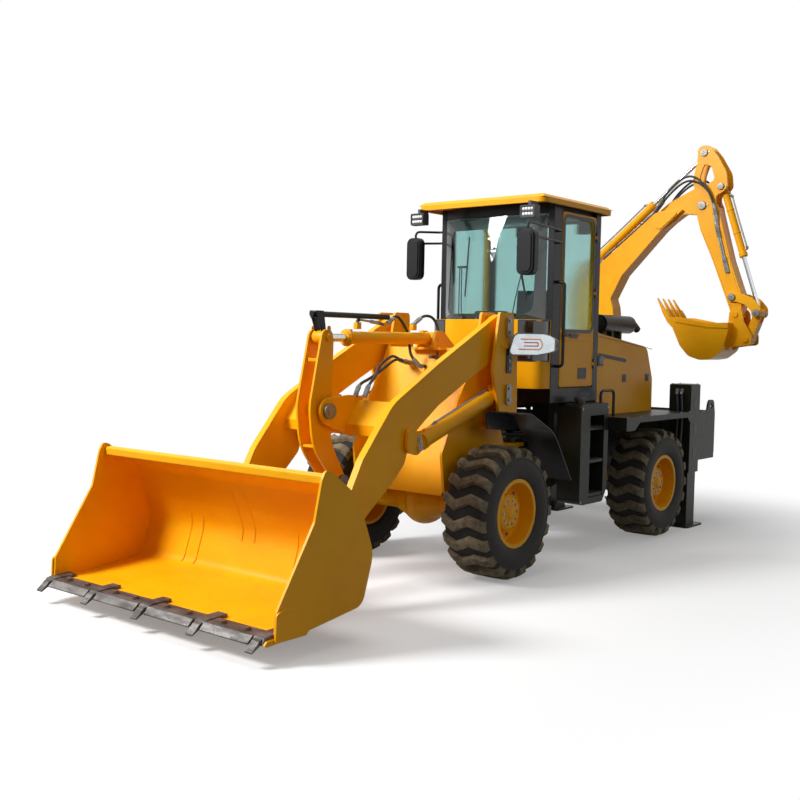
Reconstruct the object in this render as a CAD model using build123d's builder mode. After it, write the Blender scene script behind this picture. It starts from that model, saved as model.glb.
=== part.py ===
"""Articulated backhoe loader: front loader, cab and engine on the rear frame, side-shift backhoe.

Machine axes while modelling, in millimetres: +X forward from the front axle, +Y to the
operator's left, +Z up from the ground. Every piece is written in the object's own frame, whose
origin lies on the ground below the middle of the whole machine (origin_x, origin_y).
The backhoe stands slewed to the left, so its side views are drawn in the YZ plane.
"""

from build123d import *
from math import cos, hypot, radians, tan
import os

os.makedirs("parts", exist_ok=True)

# ---------------------------------------------------------------- driving dimensions (mm)
origin_x, origin_y = -708, 97

wheelbase = 2670
wheel_radius = 537.5
track_half = 775
tyre_width = 410
lug_count = 22
rim_radius = 261.7
flange_radius = 279
rim_half_width = 182
pin_gap = 0.5
side_gap = 6

pivot_x = -wheelbase / 2
axle_z = wheel_radius

# Loader pivots (x, z)
arm_pin = (-255, 2045)
lift_base = (-265, 1487)
lift_eye = (862, 1103)
bucket_pin = (1850, 290)
rocker_pin = (1330, 1365)
rocker_top = (1293, 1915)
rocker_low = (1115, 805)
bucket_ear = (1880, 575)
tilt_base = (-55, 1925)

arm_y = 557
arm_thickness = 60
tower_gap = 155
plate = 25
bucket_half_width = 1144
bucket_side = 20
bucket_shell = 14

# Cab
cab_half = 620
floor_z = 1400
sill_top = 1500
header_low, header_high = 3050, 3150
roof_z, roof_shoulder, roof_top = 3120, 3166, 3196
roof_half = 692
roof_front, roof_rear = -727, -1962
post_depth = 60
front_post = (-1150, -1016)
rear_post = (-1860, -1775)
door_front, door_rear = -1160, -1765
door_low, door_high = 1510, 3085
door_inner, door_outer = 585, 622
window_low, window_high = 2030, 3045
window_edge = 36
nose_low, nose_top, nose_sheet = 1500, 2110, 8
glass = 6

# Hood
hood_half = 600
hood_sheet = 8

# Rear slide frame and stabilisers
column_front, column_rear = -3300, -3530
column_inner, column_outer = 700, 940
column_bottom, column_top = 580, 1500
column_wall = 12
leg_gap = 6
leg_top = 980
rail_rear = -3930
bar_thickness = 30
slide_low, slide_high = 700, 1210
slide_step = 80
flange = 30

# Backhoe pivots: swing axis (x, y), then (y, z) of each pin in the boom's plane
swing_x, swing_y = -4175, -735
boom_foot = (-755, 1380)
boom_ram_base = (-585, 950)
boom_lobe = (-472, 2164)
dipper_pin = (643, 3460)
dipper_ram_base = (-740, 2868)
dipper_ram_eye = (648, 4035)
hoe_ram_base = (850, 3653)
hoe_ram_eye = (1305, 2272)
guide_pin = (1027, 2444)
hoe_bucket_pin = (1072, 2255)
hoe_ear = (1200, 1985)
boom_half = 100
boom_slot_half = 60
tongue_half = 55
dipper_half = 85
head_plate = 24
hoe_bucket_half = 225


# ---------------------------------------------------------------- drawing helpers
def rounded_line(rows, closed=True):
    """Straight runs joined by tangent arcs, inside a BuildLine; rows end with the corner radius."""
    count = len(rows)
    joints = []
    for index, row in enumerate(rows):
        corner, radius = Vector(*row[:-1]), row[-1]
        if radius == 0 or (not closed and index in (0, count - 1)):
            joints.append((corner, None, corner))
            continue
        before = Vector(*rows[index - 1][:-1]) - corner
        after = Vector(*rows[(index + 1) % count][:-1]) - corner
        half_turn = radians(180 - before.get_angle(after)) / 2
        reach = min(radius * tan(half_turn), 0.48 * before.length, 0.48 * after.length)
        bisector = (before.normalized() + after.normalized()).normalized()
        depth = reach / tan(half_turn) * (1 / cos(half_turn) - 1)
        start = corner + before.normalized() * reach
        end = corner + after.normalized() * reach
        joints.append((start, corner + bisector * depth, end))
    for index, (start, middle, end) in enumerate(joints):
        if middle is not None:
            ThreePointArc(start, middle, end)
        if closed or index < count - 1:
            Line(end, joints[(index + 1) % count][0])


def outline(plane, rows):
    """Closed face on a plane; each row is (across, up, corner radius)."""
    with BuildSketch(plane) as face:
        with BuildLine():
            rounded_line(rows)
        make_face()
    return face.sketch


def strip(plane, rows, thickness):
    """Face of a bent sheet on a plane, to the left of its open line."""
    with BuildSketch(plane) as face:
        with BuildLine():
            rounded_line(rows, closed=False)
            offset(amount=thickness, side=Side.LEFT)
        make_face()
    return face.sketch


def along(rows, y_low, y_high, mode=Mode.ADD):
    """Side-view outline (x, z, radius) filled from y_low to y_high."""
    plane = Plane(origin=(0, y_high, 0), x_dir=(1, 0, 0), z_dir=(0, -1, 0))
    extrude(outline(plane, rows), amount=y_high - y_low, mode=mode)


def across(rows, x_low, x_high, mode=Mode.ADD):
    """Rear-view outline (y, z, radius) filled from x_low to x_high."""
    plane = Plane(origin=(x_low, 0, 0), x_dir=(0, 1, 0), z_dir=(1, 0, 0))
    extrude(outline(plane, rows), amount=x_high - x_low, mode=mode)


def level(rows, z_low, z_high, mode=Mode.ADD):
    """Plan outline (x, y, radius) filled from z_low to z_high."""
    extrude(outline(Plane.XY.offset(z_low), rows), amount=z_high - z_low, mode=mode)


def block(x_low, x_high, y_low, y_high, z_low, z_high, mode=Mode.ADD):
    """Box between two corners."""
    with Locations(((x_low + x_high) / 2, (y_low + y_high) / 2, (z_low + z_high) / 2)):
        Box(x_high - x_low, y_high - y_low, z_high - z_low, mode=mode)


def bar(start, end, radius, mode=Mode.ADD):
    """Round bar from start to end."""
    reach = Vector(*end) - Vector(*start)
    with BuildSketch(Plane(origin=start, z_dir=reach)) as disc:
        Circle(radius)
    extrude(disc.sketch, amount=reach.length, mode=mode)


def pin_y(point, y_low, y_high, radius, mode=Mode.ADD):
    """Cylinder along Y at a side-view point (x, z)."""
    bar((point[0], y_low, point[1]), (point[0], y_high, point[1]), radius, mode)


def pin_x(point, x_low, x_high, radius, mode=Mode.ADD):
    """Cylinder along X at a rear-view point (y, z)."""
    bar((x_low, point[0], point[1]), (x_high, point[0], point[1]), radius, mode)


def bent_tube(points, bend, radius):
    """Tube along straight runs joined by arcs."""
    with BuildLine() as path:
        rounded_line([(*point, bend) for point in points], closed=False)
    heading = Vector(*points[1]) - Vector(*points[0])
    with BuildSketch(Plane(origin=points[0], z_dir=heading)) as ring:
        Circle(radius)
    sweep(ring.sketch, path=path.line)


def sub(a, b):
    return (a[0] - b[0], a[1] - b[1])


def write(piece, name):
    """Label a finished piece, move it to the object's frame and export it."""
    moved = piece.moved(Location((-origin_x, -origin_y, 0)))
    moved.label = name
    export_step(moved, f"parts/{name}.step")


# ---------------------------------------------------------------- wheels
# Tyre section: offset from the tyre's middle, radius; one flat of the tread carries each lug
tyre_sections = [(-155, 285), (-203, 385), (-192, 500)]

with BuildPart() as tyre:
    for station, radius in tyre_sections + [(-o, r) for o, r in reversed(tyre_sections)]:
        with BuildSketch(Plane.XZ.offset(-station)):
            RegularPolygon(radius, lug_count)
    loft(ruled=True)
    with BuildSketch(Plane.XZ.offset(-tyre_width)):
        Circle(rim_radius)
    extrude(amount=2 * tyre_width, mode=Mode.SUBTRACT)

# Lug plan: offset across the tread, shift of the lug's middle around the tread
lug_bends = [(-186, -15), (-75, 30), (60, -30), (186, 15)]
lug_width = 76
lug_root, lug_face = 480, wheel_radius
with BuildPart() as lug:
    low_side = [(y, shift - lug_width / 2, 0) for y, shift in lug_bends]
    high_side = [(y, shift + lug_width / 2, 0) for y, shift in reversed(lug_bends)]
    lug_plane = Plane(origin=(0, 0, lug_root), x_dir=(0, 1, 0), z_dir=(0, 0, 1))
    extrude(outline(lug_plane, low_side + high_side), amount=lug_face - lug_root)

with BuildPart() as tyre_with_lugs:
    add(tyre.part)
    for index in range(lug_count):
        add(lug.part.rotate(Axis.Y, index * 360 / lug_count))

disc_y = 38
disc_thickness = 16
hub_radius = 150
hub_face = 118
spindle_radius = 60
with BuildPart() as rim:
    rim_rows = [
        (-rim_half_width, flange_radius), (-rim_half_width + 24, flange_radius),
        (-rim_half_width + 24, rim_radius), (rim_half_width - 24, rim_radius),
        (rim_half_width - 24, flange_radius), (rim_half_width, flange_radius),
        (rim_half_width, rim_radius - 14), (disc_y + disc_thickness, rim_radius - 26),
        (disc_y + disc_thickness, hub_radius), (hub_face - 14, hub_radius),
        (hub_face, hub_radius - 26), (hub_face, 0), (disc_y + 10, 0),
        (disc_y + 10, spindle_radius + pin_gap), (disc_y - 30, spindle_radius + pin_gap),
        (disc_y - 30, hub_radius - 20), (disc_y, hub_radius - 10),
        (disc_y, rim_radius - 26), (-rim_half_width, rim_radius - 14),
    ]
    with BuildSketch(Plane.YZ) as rim_section:
        with BuildLine():
            Polyline(*rim_rows, close=True)
        make_face()
    revolve(rim_section.sketch, axis=Axis.Y)

# Wheel names with the axle's x and the side (+1 left, -1 right)
wheel_places = [
    ("front_left", 0, 1), ("front_right", 0, -1),
    ("rear_left", -wheelbase, 1), ("rear_right", -wheelbase, -1),
]
for wheel_name, axle_x, hand in wheel_places:
    turn = 0 if hand > 0 else 180
    place = Location((axle_x, hand * track_half, axle_z), (0, 0, turn))
    write(tyre_with_lugs.part.moved(place), f"tyre_{wheel_name}")
    write(rim.part.moved(place), f"rim_{wheel_name}")

# ---------------------------------------------------------------- axles
axle_tube = 88
bowl_radius = 200
axle_pad_half = 90
axle_pad_y = 400
axle_pad_top = 120
hub_flange = 150


def axle_housing(axle_x, nose):
    """Drive axle: bowl, tapering tubes, end flanges, spindles and a pinion nose."""
    with BuildPart() as housing:
        with Locations((0.1 * nose, 0, 0)):
            Sphere(bowl_radius)
        for hand in (1, -1):
            for y_low, y_high, r_low, r_high in axle_steps:
                with BuildSketch(Plane.XZ.offset(-hand * y_low)) as inner_ring:
                    Circle(r_low)
                with BuildSketch(Plane.XZ.offset(-hand * y_high)) as outer_ring:
                    Circle(r_high)
                loft([inner_ring.sketch, outer_ring.sketch])
            block(-axle_pad_half, axle_pad_half, hand * axle_pad_y - 70, hand * axle_pad_y + 70, 0,
                  axle_pad_top)
        bar((0, 0, 0), (nose, 0, 0), 95)
        bar((nose, 0, 0), (nose * 1.12, 0, 0), 60)
    return housing.part.moved(Location((axle_x, 0, axle_z)))


# Axle tube steps: inner end, outer end, inner radius, outer radius
axle_steps = [
    (60, 260, 165, axle_tube), (260, 640, axle_tube, axle_tube), (640, 700, axle_tube, hub_flange),
    (700, track_half + disc_y - 40, hub_flange, hub_flange - 12),
    (track_half + disc_y - 41, track_half + disc_y, spindle_radius, spindle_radius),
]
write(axle_housing(0, -330), "front_axle")
write(axle_housing(-wheelbase, 330), "rear_axle")

# ---------------------------------------------------------------- front frame
hinge_radius = 120
hinge_bore = 40
lug_thickness = 34
hinge_low, hinge_high = 600, 960
frame_bottom = axle_z + axle_pad_top
bowl_gap = bowl_radius + 20
outer_y = arm_y + tower_gap / 2
inner_y = arm_y - tower_gap / 2
tower_top = [
    (arm_pin[0] + 118, arm_pin[1] + 107, 30), (arm_pin[0] - 82, arm_pin[1] + 107, 30),
    (arm_pin[0] - 92, 1967, 40), (-398, 1884, 60), (-418, 1421, 0),
]

with BuildPart() as front_frame:
    for hand in (1, -1):
        outer = tower_top + [(-418, 1180, 30), (-140, 1180, 30), (-150, 1347, 60), (-49, 1661, 80),
                             (-86, 1900, 60)]
        inner = tower_top + [
            (-440, 1180, 0), (-520, 1000, 80), (-620, 1000, 0), (-620, frame_bottom, 0),
            (330, frame_bottom, 60), (380, 1000, 80), (180, 1420, 60), (20, 1661, 80), (-86, 1900, 60),
        ]
        low_outer, high_outer = sorted((hand * outer_y, hand * (outer_y + plate)))
        low_inner, high_inner = sorted((hand * inner_y, hand * (inner_y - plate)))
        along(outer, low_outer, high_outer)
        along(inner, low_inner, high_inner)
        low_web, high_web = sorted((hand * (inner_y - 1), hand * (outer_y + 1)))
        block(-418, -396, low_web, high_web, 1180, 1760)
        block(-418, -140, low_web, high_web, 1180, 1202)
        for point, radius in ((arm_pin, 32), (lift_base, 30)):
            low_pin, high_pin = sorted((hand * (inner_y - plate - 12), hand * (outer_y + plate + 12)))
            pin_y(point, low_pin, high_pin, radius)
        for point in (arm_pin, lift_base):
            low_key, high_key = sorted((hand * (outer_y + plate - 1), hand * (outer_y + plate + 13)))
            block(point[0] - 26, point[0] + 26, low_key, high_key, point[1] - 88, point[1] + 60)
    # Sloped front wall, its shelf for the tilt cylinder and the cross walls behind it
    wall = [(-60, 1850, 0), (-84, 1850, 0), (320, 660, 0), (346, 660, 0)]
    along(wall, -inner_y + plate - 1, inner_y - plate + 1)
    block(-300, 20, -170, 170, 1830, 1852)
    block(-300, 330, -inner_y + plate - 1, inner_y - plate + 1, frame_bottom, frame_bottom + 22)
    block(-bowl_gap, bowl_gap, -bowl_gap, bowl_gap, frame_bottom - 1, frame_bottom + 30, Mode.SUBTRACT)
    block(-418, -396, -inner_y + plate - 1, inner_y - plate + 1, 1000, 1300)
    for hand in (1, -1):
        rib = [(-60, 1845, 0), (-300, 1845, 0), (-410, 1290, 0), (-390, 1290, 0), (60, 1500, 0)]
        along(rib, hand * 170 - 10, hand * 170 + 10)
        ear = [(-300, 1845, 0), (30, 1845, 0), (tilt_base[0] + 62, tilt_base[1], 40),
               (tilt_base[0] + 40, tilt_base[1] + 70, 40), (tilt_base[0] - 60, tilt_base[1] + 66, 40)]
        along(ear, hand * 86 - 12, hand * 86 + 12)
    pin_y(tilt_base, -104, 104, 27)
    # Tongue to the articulation joint: two hinge plates and the side walls between them
    for z_low in (hinge_low, hinge_high - lug_thickness):
        tongue = [(-560, inner_y - 2, 0), (-560, 2 - inner_y, 0), (-760, -330, 60),
                  (pivot_x + 20, -hinge_radius, 60),
                  (pivot_x - hinge_radius, -hinge_radius + 10, 100),
                  (pivot_x - hinge_radius, hinge_radius - 10, 100),
                  (pivot_x + 20, hinge_radius, 60), (-760, 330, 60)]
        level(tongue, z_low, z_low + lug_thickness)
    for hand in (1, -1):
        cheek = [(-560, hand * (inner_y - 26), 0), (-560, hand * (inner_y - 2), 0), (-780, hand * 326, 0),
                 (pivot_x + 190, hand * (hinge_radius + 36), 0),
                 (pivot_x + 190, hand * (hinge_radius + 12), 0),
                 (-780, hand * 300, 0)]
        level(cheek, hinge_low + 10, hinge_high - 10)
    bar((pivot_x, 0, hinge_low - 1), (pivot_x, 0, hinge_high + 1), hinge_bore + pin_gap, Mode.SUBTRACT)
write(front_frame.part, "front_frame")

fender_inner, fender_outer = 672, 985
fender_top = 1345
fender_sheet = 8
# Fender line over the front wheel (x, z, radius), front to back
fender_line = [(60, fender_top, 0), (-130, fender_top - 4, 240), (-500, 1165, 330), (-802, 740, 0)]
with BuildPart() as front_fenders:
    for hand in (1, -1):
        low, high = sorted((hand * fender_inner, hand * fender_outer))
        fender_plane = Plane(origin=(0, high, 0), x_dir=(1, 0, 0), z_dir=(0, -1, 0))
        extrude(strip(fender_plane, fender_line, fender_sheet), amount=high - low)
        flank = [(60, fender_top - 4, 0), (-130, fender_top - 8, 240), (-420, 1200, 200), (-420, 1170, 60),
                 (40, 1200, 0)]
        low, high = sorted((hand * fender_inner, hand * (fender_inner + 8)))
        along(flank, low, high)
        low, high = sorted((hand * (outer_y + plate), hand * (fender_inner + 4)))
        block(-400, -160, low, high, 1215, 1260)
write(front_fenders.part, "front_fenders")

# ---------------------------------------------------------------- loader arms
boss_half = tower_gap / 2 - side_gap
arm_rows = [
    (arm_pin[0] - 95, arm_pin[1] + 10, 90), (arm_pin[0] - 10, arm_pin[1] + 105, 80),
    (arm_pin[0] + 90, 2104, 60), (591, 1728, 0), (1127, 1435, 420), (1458, 1049, 300), (1601, 792, 400),
    (bucket_pin[0] + 88, bucket_pin[1] + 40, 80), (bucket_pin[0] + 30, bucket_pin[1] - 92, 80),
    (bucket_pin[0] - 70, bucket_pin[1] - 60, 80), (1429, 623, 300), (1137, 844, 200), (985, 985, 120),
    (930, 1165, 120), (780, 1275, 100), (579, 1407, 0), (241, 1574, 200),
    (arm_pin[0] - 60, arm_pin[1] - 215, 120),
]
cross_beam = [(1140, 1182, 0), (1140, 1262, 0), (1010, 1440, 0), (930, 1400, 0), (960, 1215, 0)]
# Rocker bracket plates stand either side of the rocker
bracket_y, bracket_plate = 112, 24
rocker_half, rocker_plate = 77, 20
with BuildPart() as loader_arms:
    for hand in (1, -1):
        low, high = hand * arm_y - arm_thickness / 2, hand * arm_y + arm_thickness / 2
        along(arm_rows, low, high)
        pin_y(arm_pin, hand * arm_y - boss_half, hand * arm_y + boss_half, 82)
        pin_y(bucket_pin, hand * arm_y - 45, hand * arm_y + 45, 78)
        for side in (1, -1):
            ear = [(lift_eye[0] - 62, lift_eye[1] - 10, 55), (lift_eye[0] - 30, lift_eye[1] + 110, 60),
                   (lift_eye[0] + 130, lift_eye[1] + 150, 40), (lift_eye[0] + 150, lift_eye[1] - 20, 60),
                   (lift_eye[0] + 20, lift_eye[1] - 66, 55)]
            ear_mid = hand * arm_y + side * 56
            along(ear, ear_mid - 11, ear_mid + 11)
            low_rib, high_rib = sorted((hand * arm_y + side * 28, ear_mid))
            block(lift_eye[0] + 95, lift_eye[0] + 125, low_rib, high_rib, lift_eye[1] + 20,
                  lift_eye[1] + 120)
        low_cap, high_cap = sorted((hand * (arm_y + 66), hand * (arm_y + 80)))
        pin_y(lift_eye, low_cap, high_cap, 32)
    along(cross_beam, -arm_y + 20, arm_y - 20)
    along([(1116, 1206, 0), (1116, 1254, 0), (1001, 1412, 0), (954, 1390, 0), (980, 1232, 0)],
          -arm_y + 20, arm_y - 20, Mode.SUBTRACT)
    for hand in (1, -1):
        bracket = [(rocker_pin[0] + 100, rocker_pin[1] + 10, 80),
                   (rocker_pin[0] + 40, rocker_pin[1] + 96, 80),
                   (1090, 1480, 60), (940, 1470, 20), (930, 1400, 0), (1000, 1200, 0), (1060, 1160, 0),
                   (rocker_pin[0] + 50, rocker_pin[1] - 92, 80)]
        along(bracket, hand * bracket_y - bracket_plate / 2, hand * bracket_y + bracket_plate / 2)
        pin_y(arm_pin, hand * arm_y - boss_half - 1, hand * arm_y + boss_half + 1, 32 + pin_gap,
              Mode.SUBTRACT)
        pin_y(bucket_pin, hand * arm_y - 46, hand * arm_y + 46, 32 + pin_gap, Mode.SUBTRACT)
    pin_y(rocker_pin, -bracket_y - 13, bracket_y + 13, 34 + pin_gap, Mode.SUBTRACT)
write(loader_arms.part, "loader_arms")

with BuildPart() as bucket_pins:
    for hand in (1, -1):
        pin_y(bucket_pin, hand * arm_y - 88, hand * arm_y + 88, 32)
        for side in (1, -1):
            low, high = sorted((hand * arm_y + side * 80, hand * arm_y + side * 100))
            pin_y(bucket_pin, low, high, 66)
write(bucket_pins.part, "bucket_pins")

pin_head, pin_head_radius = 24, 60
with BuildPart() as rocker_shaft:
    pin_y(rocker_pin, -bracket_y - 26, bracket_y + 26, 34)
    for hand in (1, -1):
        low, high = sorted((hand * (bracket_y + 14), hand * (bracket_y + 14 + pin_head)))
        pin_y(rocker_pin, low, high, pin_head_radius)
write(rocker_shaft.part, "rocker_shaft")

# Rocker plate outline, bulging forward between its two end pins
with BuildPart() as rocker:
    rows = [(rocker_top[0] - 58, rocker_top[1] - 20, 50), (rocker_top[0] - 40, rocker_top[1] + 60, 55),
            (rocker_top[0] + 58, rocker_top[1] + 60, 55), (rocker_top[0] + 110, 1740, 200),
            (1480, 1400, 420),
            (1440, 1090, 400), (rocker_low[0] + 66, rocker_low[1] - 20, 50),
            (rocker_low[0] - 10, rocker_low[1] - 68, 55),
            (rocker_low[0] - 66, rocker_low[1] - 10, 55), (rocker_low[0] - 20, rocker_low[1] + 62, 60),
            (1262, 1150, 400), (1245, 1400, 300)]
    for hand in (1, -1):
        low, high = sorted((hand * (rocker_half - rocker_plate), hand * rocker_half))
        along(rows, low, high)
        low, high = sorted((hand * (rocker_half - 1), hand * (rocker_half + 16)))
        pin_y(rocker_top, low, high, 30)
    pin_y(rocker_low, -rocker_half - 1, rocker_half + 1, 28 + pin_gap, Mode.SUBTRACT)
    pin_y(rocker_pin, -bracket_y + bracket_plate / 2 + 6, bracket_y - bracket_plate / 2 - 6, 62)
    pin_y(rocker_pin, -bracket_y, bracket_y, 34 + pin_gap, Mode.SUBTRACT)
    block(1362, 1382, -rocker_half + 1, rocker_half - 1, 1735, 1760)
    block(1330, 1420, -rocker_half + 1, rocker_half - 1, 1090, 1110)
write(rocker.part, "rocker")

link_half = 44
with BuildPart() as link_pin:
    pin_y(rocker_low, -rocker_half - 10, rocker_half + 10, 28)
    for hand in (1, -1):
        low, high = sorted((hand * (rocker_half + 1), hand * (rocker_half + 21)))
        pin_y(rocker_low, low, high, 60)
write(link_pin.part, "link_pin")

with BuildPart() as bucket_link:
    pin_y(rocker_low, -link_half, link_half, 58)
    pin_y(bucket_ear, -link_half, link_half, 55)
    pin_y(bucket_ear, -link_half - 5, link_half + 5, 28)
    with BuildSketch(Plane(origin=(rocker_low[0], 0, rocker_low[1]),
                           z_dir=(bucket_ear[0] - rocker_low[0], 0, bucket_ear[1] - rocker_low[1]))):
        Rectangle(74, 60)
    extrude(amount=hypot(*sub(bucket_ear, rocker_low)))
    pin_y(rocker_low, -link_half - 1, link_half + 1, 28 + pin_gap, Mode.SUBTRACT)
write(bucket_link.part, "bucket_link")

# ---------------------------------------------------------------- loader bucket
# Side plate (x, z, radius) and the curved back it closes
side_rows = [
    (2838, 143, 0), (2830, 304, 30), (2521, 797, 60), (2462, 1050, 120), (2430, 1106, 34), (2385, 1095, 34),
    (2150, 930, 120), (2040, 700, 260), (1975, 530, 200), (2075, 212, 100), (2600, 143, 0),
]
back_rows = [(2385, 1078, 30), (2150, 915, 120), (2046, 700, 260), (1982, 530, 200), (2080, 218, 100),
             (2600, 150, 0)]
with BuildPart() as loader_bucket:
    for hand in (1, -1):
        low, high = sorted((hand * bucket_half_width, hand * (bucket_half_width - bucket_side)))
        along(side_rows, low, high)
    shell_plane = Plane(origin=(0, bucket_half_width - 1, 0), x_dir=(1, 0, 0), z_dir=(0, -1, 0))
    extrude(strip(shell_plane, back_rows, bucket_shell), amount=2 * bucket_half_width - 2)
    # Top rail, lip plate and wear floor
    along([(2362, 1050, 0), (2420, 1090, 20), (2420, 1010, 20), (2372, 990, 0)], -bucket_half_width + 1,
          bucket_half_width - 1)
    along([(2560, 143, 0), (2560, 168, 0), (2905, 150, 0), (2925, 128, 0), (2905, 118, 0)],
          -bucket_half_width, bucket_half_width)
    for hand in (1, -1):
        low, high = sorted((hand * bucket_half_width, hand * (bucket_half_width + 14)))
        along([(2560, 130, 20), (2850, 130, 0), (2842, 300, 30), (2740, 330, 60)], low, high)
        # Hinge ears either side of each arm, and the link's ears
        for side in (1, -1):
            ear_y = hand * arm_y + side * 66
            ear = [(2060, 640, 0), (1960, 500, 60), (bucket_pin[0] - 20, bucket_pin[1] + 80, 60),
                   (bucket_pin[0] - 80, bucket_pin[1] - 20, 60),
                   (bucket_pin[0] - 10, bucket_pin[1] - 84, 60),
                   (2110, 222, 0)]
            along(ear, ear_y - 12, ear_y + 12)
    for hand in (1, -1):
        ear = [(2150, 860, 40), (2040, 760, 60), (bucket_ear[0] - 10, bucket_ear[1] + 72, 55),
               (bucket_ear[0] - 70, bucket_ear[1] - 10, 55), (bucket_ear[0], bucket_ear[1] - 72, 55),
               (2010, 420, 0)]
        along(ear, hand * 64 - 12, hand * 64 + 12)
    for hand in (1, -1):
        low, high = sorted((hand * 76, hand * 90))
        pin_y(bucket_ear, low, high, 30)
        pin_y(bucket_pin, hand * arm_y - 79, hand * arm_y + 79, 32 + pin_gap, Mode.SUBTRACT)
    along([(2390, 1080, 30), (2166, 910, 120), (2064, 700, 240), (2000, 534, 200), (2094, 236, 90),
           (2600, 168, 0),
           (2905, 152, 0), (2905, 320, 0), (2700, 900, 0), (2430, 985, 0)],
          -bucket_half_width + bucket_side, bucket_half_width - bucket_side, Mode.SUBTRACT)
write(loader_bucket.part, "loader_bucket")

# Teeth along the lip (middle y) and the bolt-on edge segments between them (middle y, half width)
tooth_places = [-1078, -549, 0, 549, 1078]
segment_places = [(-813, 214), (-274.5, 219), (274.5, 219), (813, 214)]
with BuildPart() as bucket_teeth:
    for y in tooth_places:
        shank = [(2720, 182, 0), (2720, 160.2, 0), (2905, 150.4, 0), (2928, 127, 0), (2905, 168, 0),
                 (2870, 176, 0)]
        along(shank, y - 45, y + 45)
        tip = [(2870, 176, 0), (2870, 152.4, 0), (2905, 150.4, 0), (2930, 122.8, 0), (2992, 90, 0),
               (2992, 99, 0),
               (2935, 152, 0)]
        along(tip, y - 31, y + 31)
    for y, half in segment_places:
        segment = [(2792, 173, 0), (2790, 156.2, 0), (2905, 150.4, 0), (2927, 128.5, 0), (2950, 121, 0),
                   (2952, 130, 0), (2912, 168, 0)]
        along(segment, y - half, y + half)
write(bucket_teeth.part, "bucket_teeth")


# ---------------------------------------------------------------- rams
def ram_barrel(length, radius, rod_radius, boss_radius, boss_half, bore):
    """Cylinder barrel along +X from its base eye at the origin; the pins run along Z."""
    with BuildPart() as barrel:
        bar((0, 0, -boss_half), (0, 0, boss_half), boss_radius)
        bar((boss_radius * 0.6, 0, 0), (length, 0, 0), radius)
        bar((length - 46, 0, 0), (length - 8, 0, 0), radius + 6)
        bar((boss_radius + 14, 0, 0), (length - 46, 0, 0), radius - 9, Mode.SUBTRACT)
        bar((length - 60, 0, 0), (length + 1, 0, 0), rod_radius + pin_gap, Mode.SUBTRACT)
        bar((0, 0, -boss_half - 1), (0, 0, boss_half + 1), bore, Mode.SUBTRACT)
        for station in (boss_radius + 40, length - 75):
            bar((station, radius - 4, 0), (station, radius + 16, 0), 14)
    return barrel.part


def ram_rod(start, length, rod_radius, eye_radius, eye_half):
    """Rod along +X from inside the barrel to its eye; the eye keeps its own stub of pin."""
    with BuildPart() as rod:
        bar((start, 0, 0), (length - eye_radius / 2, 0, 0), rod_radius)
        bar((length, 0, -eye_half), (length, 0, eye_half), eye_radius)
        bar((length, 0, -eye_half - 3), (length, 0, eye_half + 3), eye_radius * 0.55)
    return rod.part


def side_place(base, eye, y):
    """Frame at a base pin (x, z), its X toward the eye and its Z across the machine."""
    run = sub(eye, base)
    return Plane(origin=(base[0], y, base[1]), x_dir=(run[0], 0, run[1]), z_dir=(0, -1, 0)).location


def hoe_place(base, eye, side=1):
    """Frame at a base pin (y, z) in the boom's plane, its X toward the eye; side turns the ports over."""
    run = sub(eye, base)
    return Plane(origin=(swing_x, *base), x_dir=(0, run[0], run[1]), z_dir=(side, 0, 0)).location


def span(a, b):
    return hypot(*sub(a, b))


# Loader cylinders: lift pair and tilt
lift_exposed, tilt_exposed = 95, 260
lift_radius, lift_rod_radius = 58, 35
tilt_radius, tilt_rod_radius = 50, 32
lift_reach = span(lift_base, lift_eye)
tilt_reach = span(tilt_base, rocker_top)
lift_barrel = ram_barrel(lift_reach - lift_exposed, lift_radius, lift_rod_radius, 62, boss_half - 1,
                         30 + pin_gap)
lift_rod = ram_rod(480, lift_reach, lift_rod_radius, 56, 39)
lift_places = [side_place(lift_base, lift_eye, hand * arm_y) for hand in (1, -1)]
write(Compound([lift_barrel.moved(place) for place in lift_places]), "lift_barrels")
write(Compound([lift_rod.moved(place) for place in lift_places]), "lift_rods")
tilt_place = side_place(tilt_base, rocker_top, 0)
tilt_barrel = ram_barrel(tilt_reach - tilt_exposed, tilt_radius, tilt_rod_radius, 56, 68, 27 + pin_gap)
write(tilt_barrel.moved(tilt_place), "tilt_barrel")
tilt_eye = 52
write(ram_rod(700, tilt_reach, tilt_rod_radius, tilt_eye, 50).moved(tilt_place), "tilt_rod")

# Bucket level bar carried above the tilt rod's eye
level_z, level_radius = 2090, 22
with BuildPart() as level_rod:
    bar((510, 0, level_z), (1400, 0, level_z), level_radius)
    for hand in (1, -1):
        cheek = [(rocker_top[0] - 22, rocker_top[1] + 30, 0), (rocker_top[0] + 22, rocker_top[1] + 30, 0),
                 (1390, level_z + 26, 10), (1300, level_z + 26, 10)]
        along(cheek, hand * 30 - 5, hand * 30 + 5)
    block(1310, 1380, -30, 30, level_z - 30, level_z - 18)
    pin_y(rocker_top, -60, 60, tilt_eye, Mode.SUBTRACT)
write(level_rod.part, "level_rod")

# ---------------------------------------------------------------- rear frame
rail_y, rail_sheet = 330, 24
frame_top = 1000
wall_x = -3560
rear_hinge_radius = 110
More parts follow.
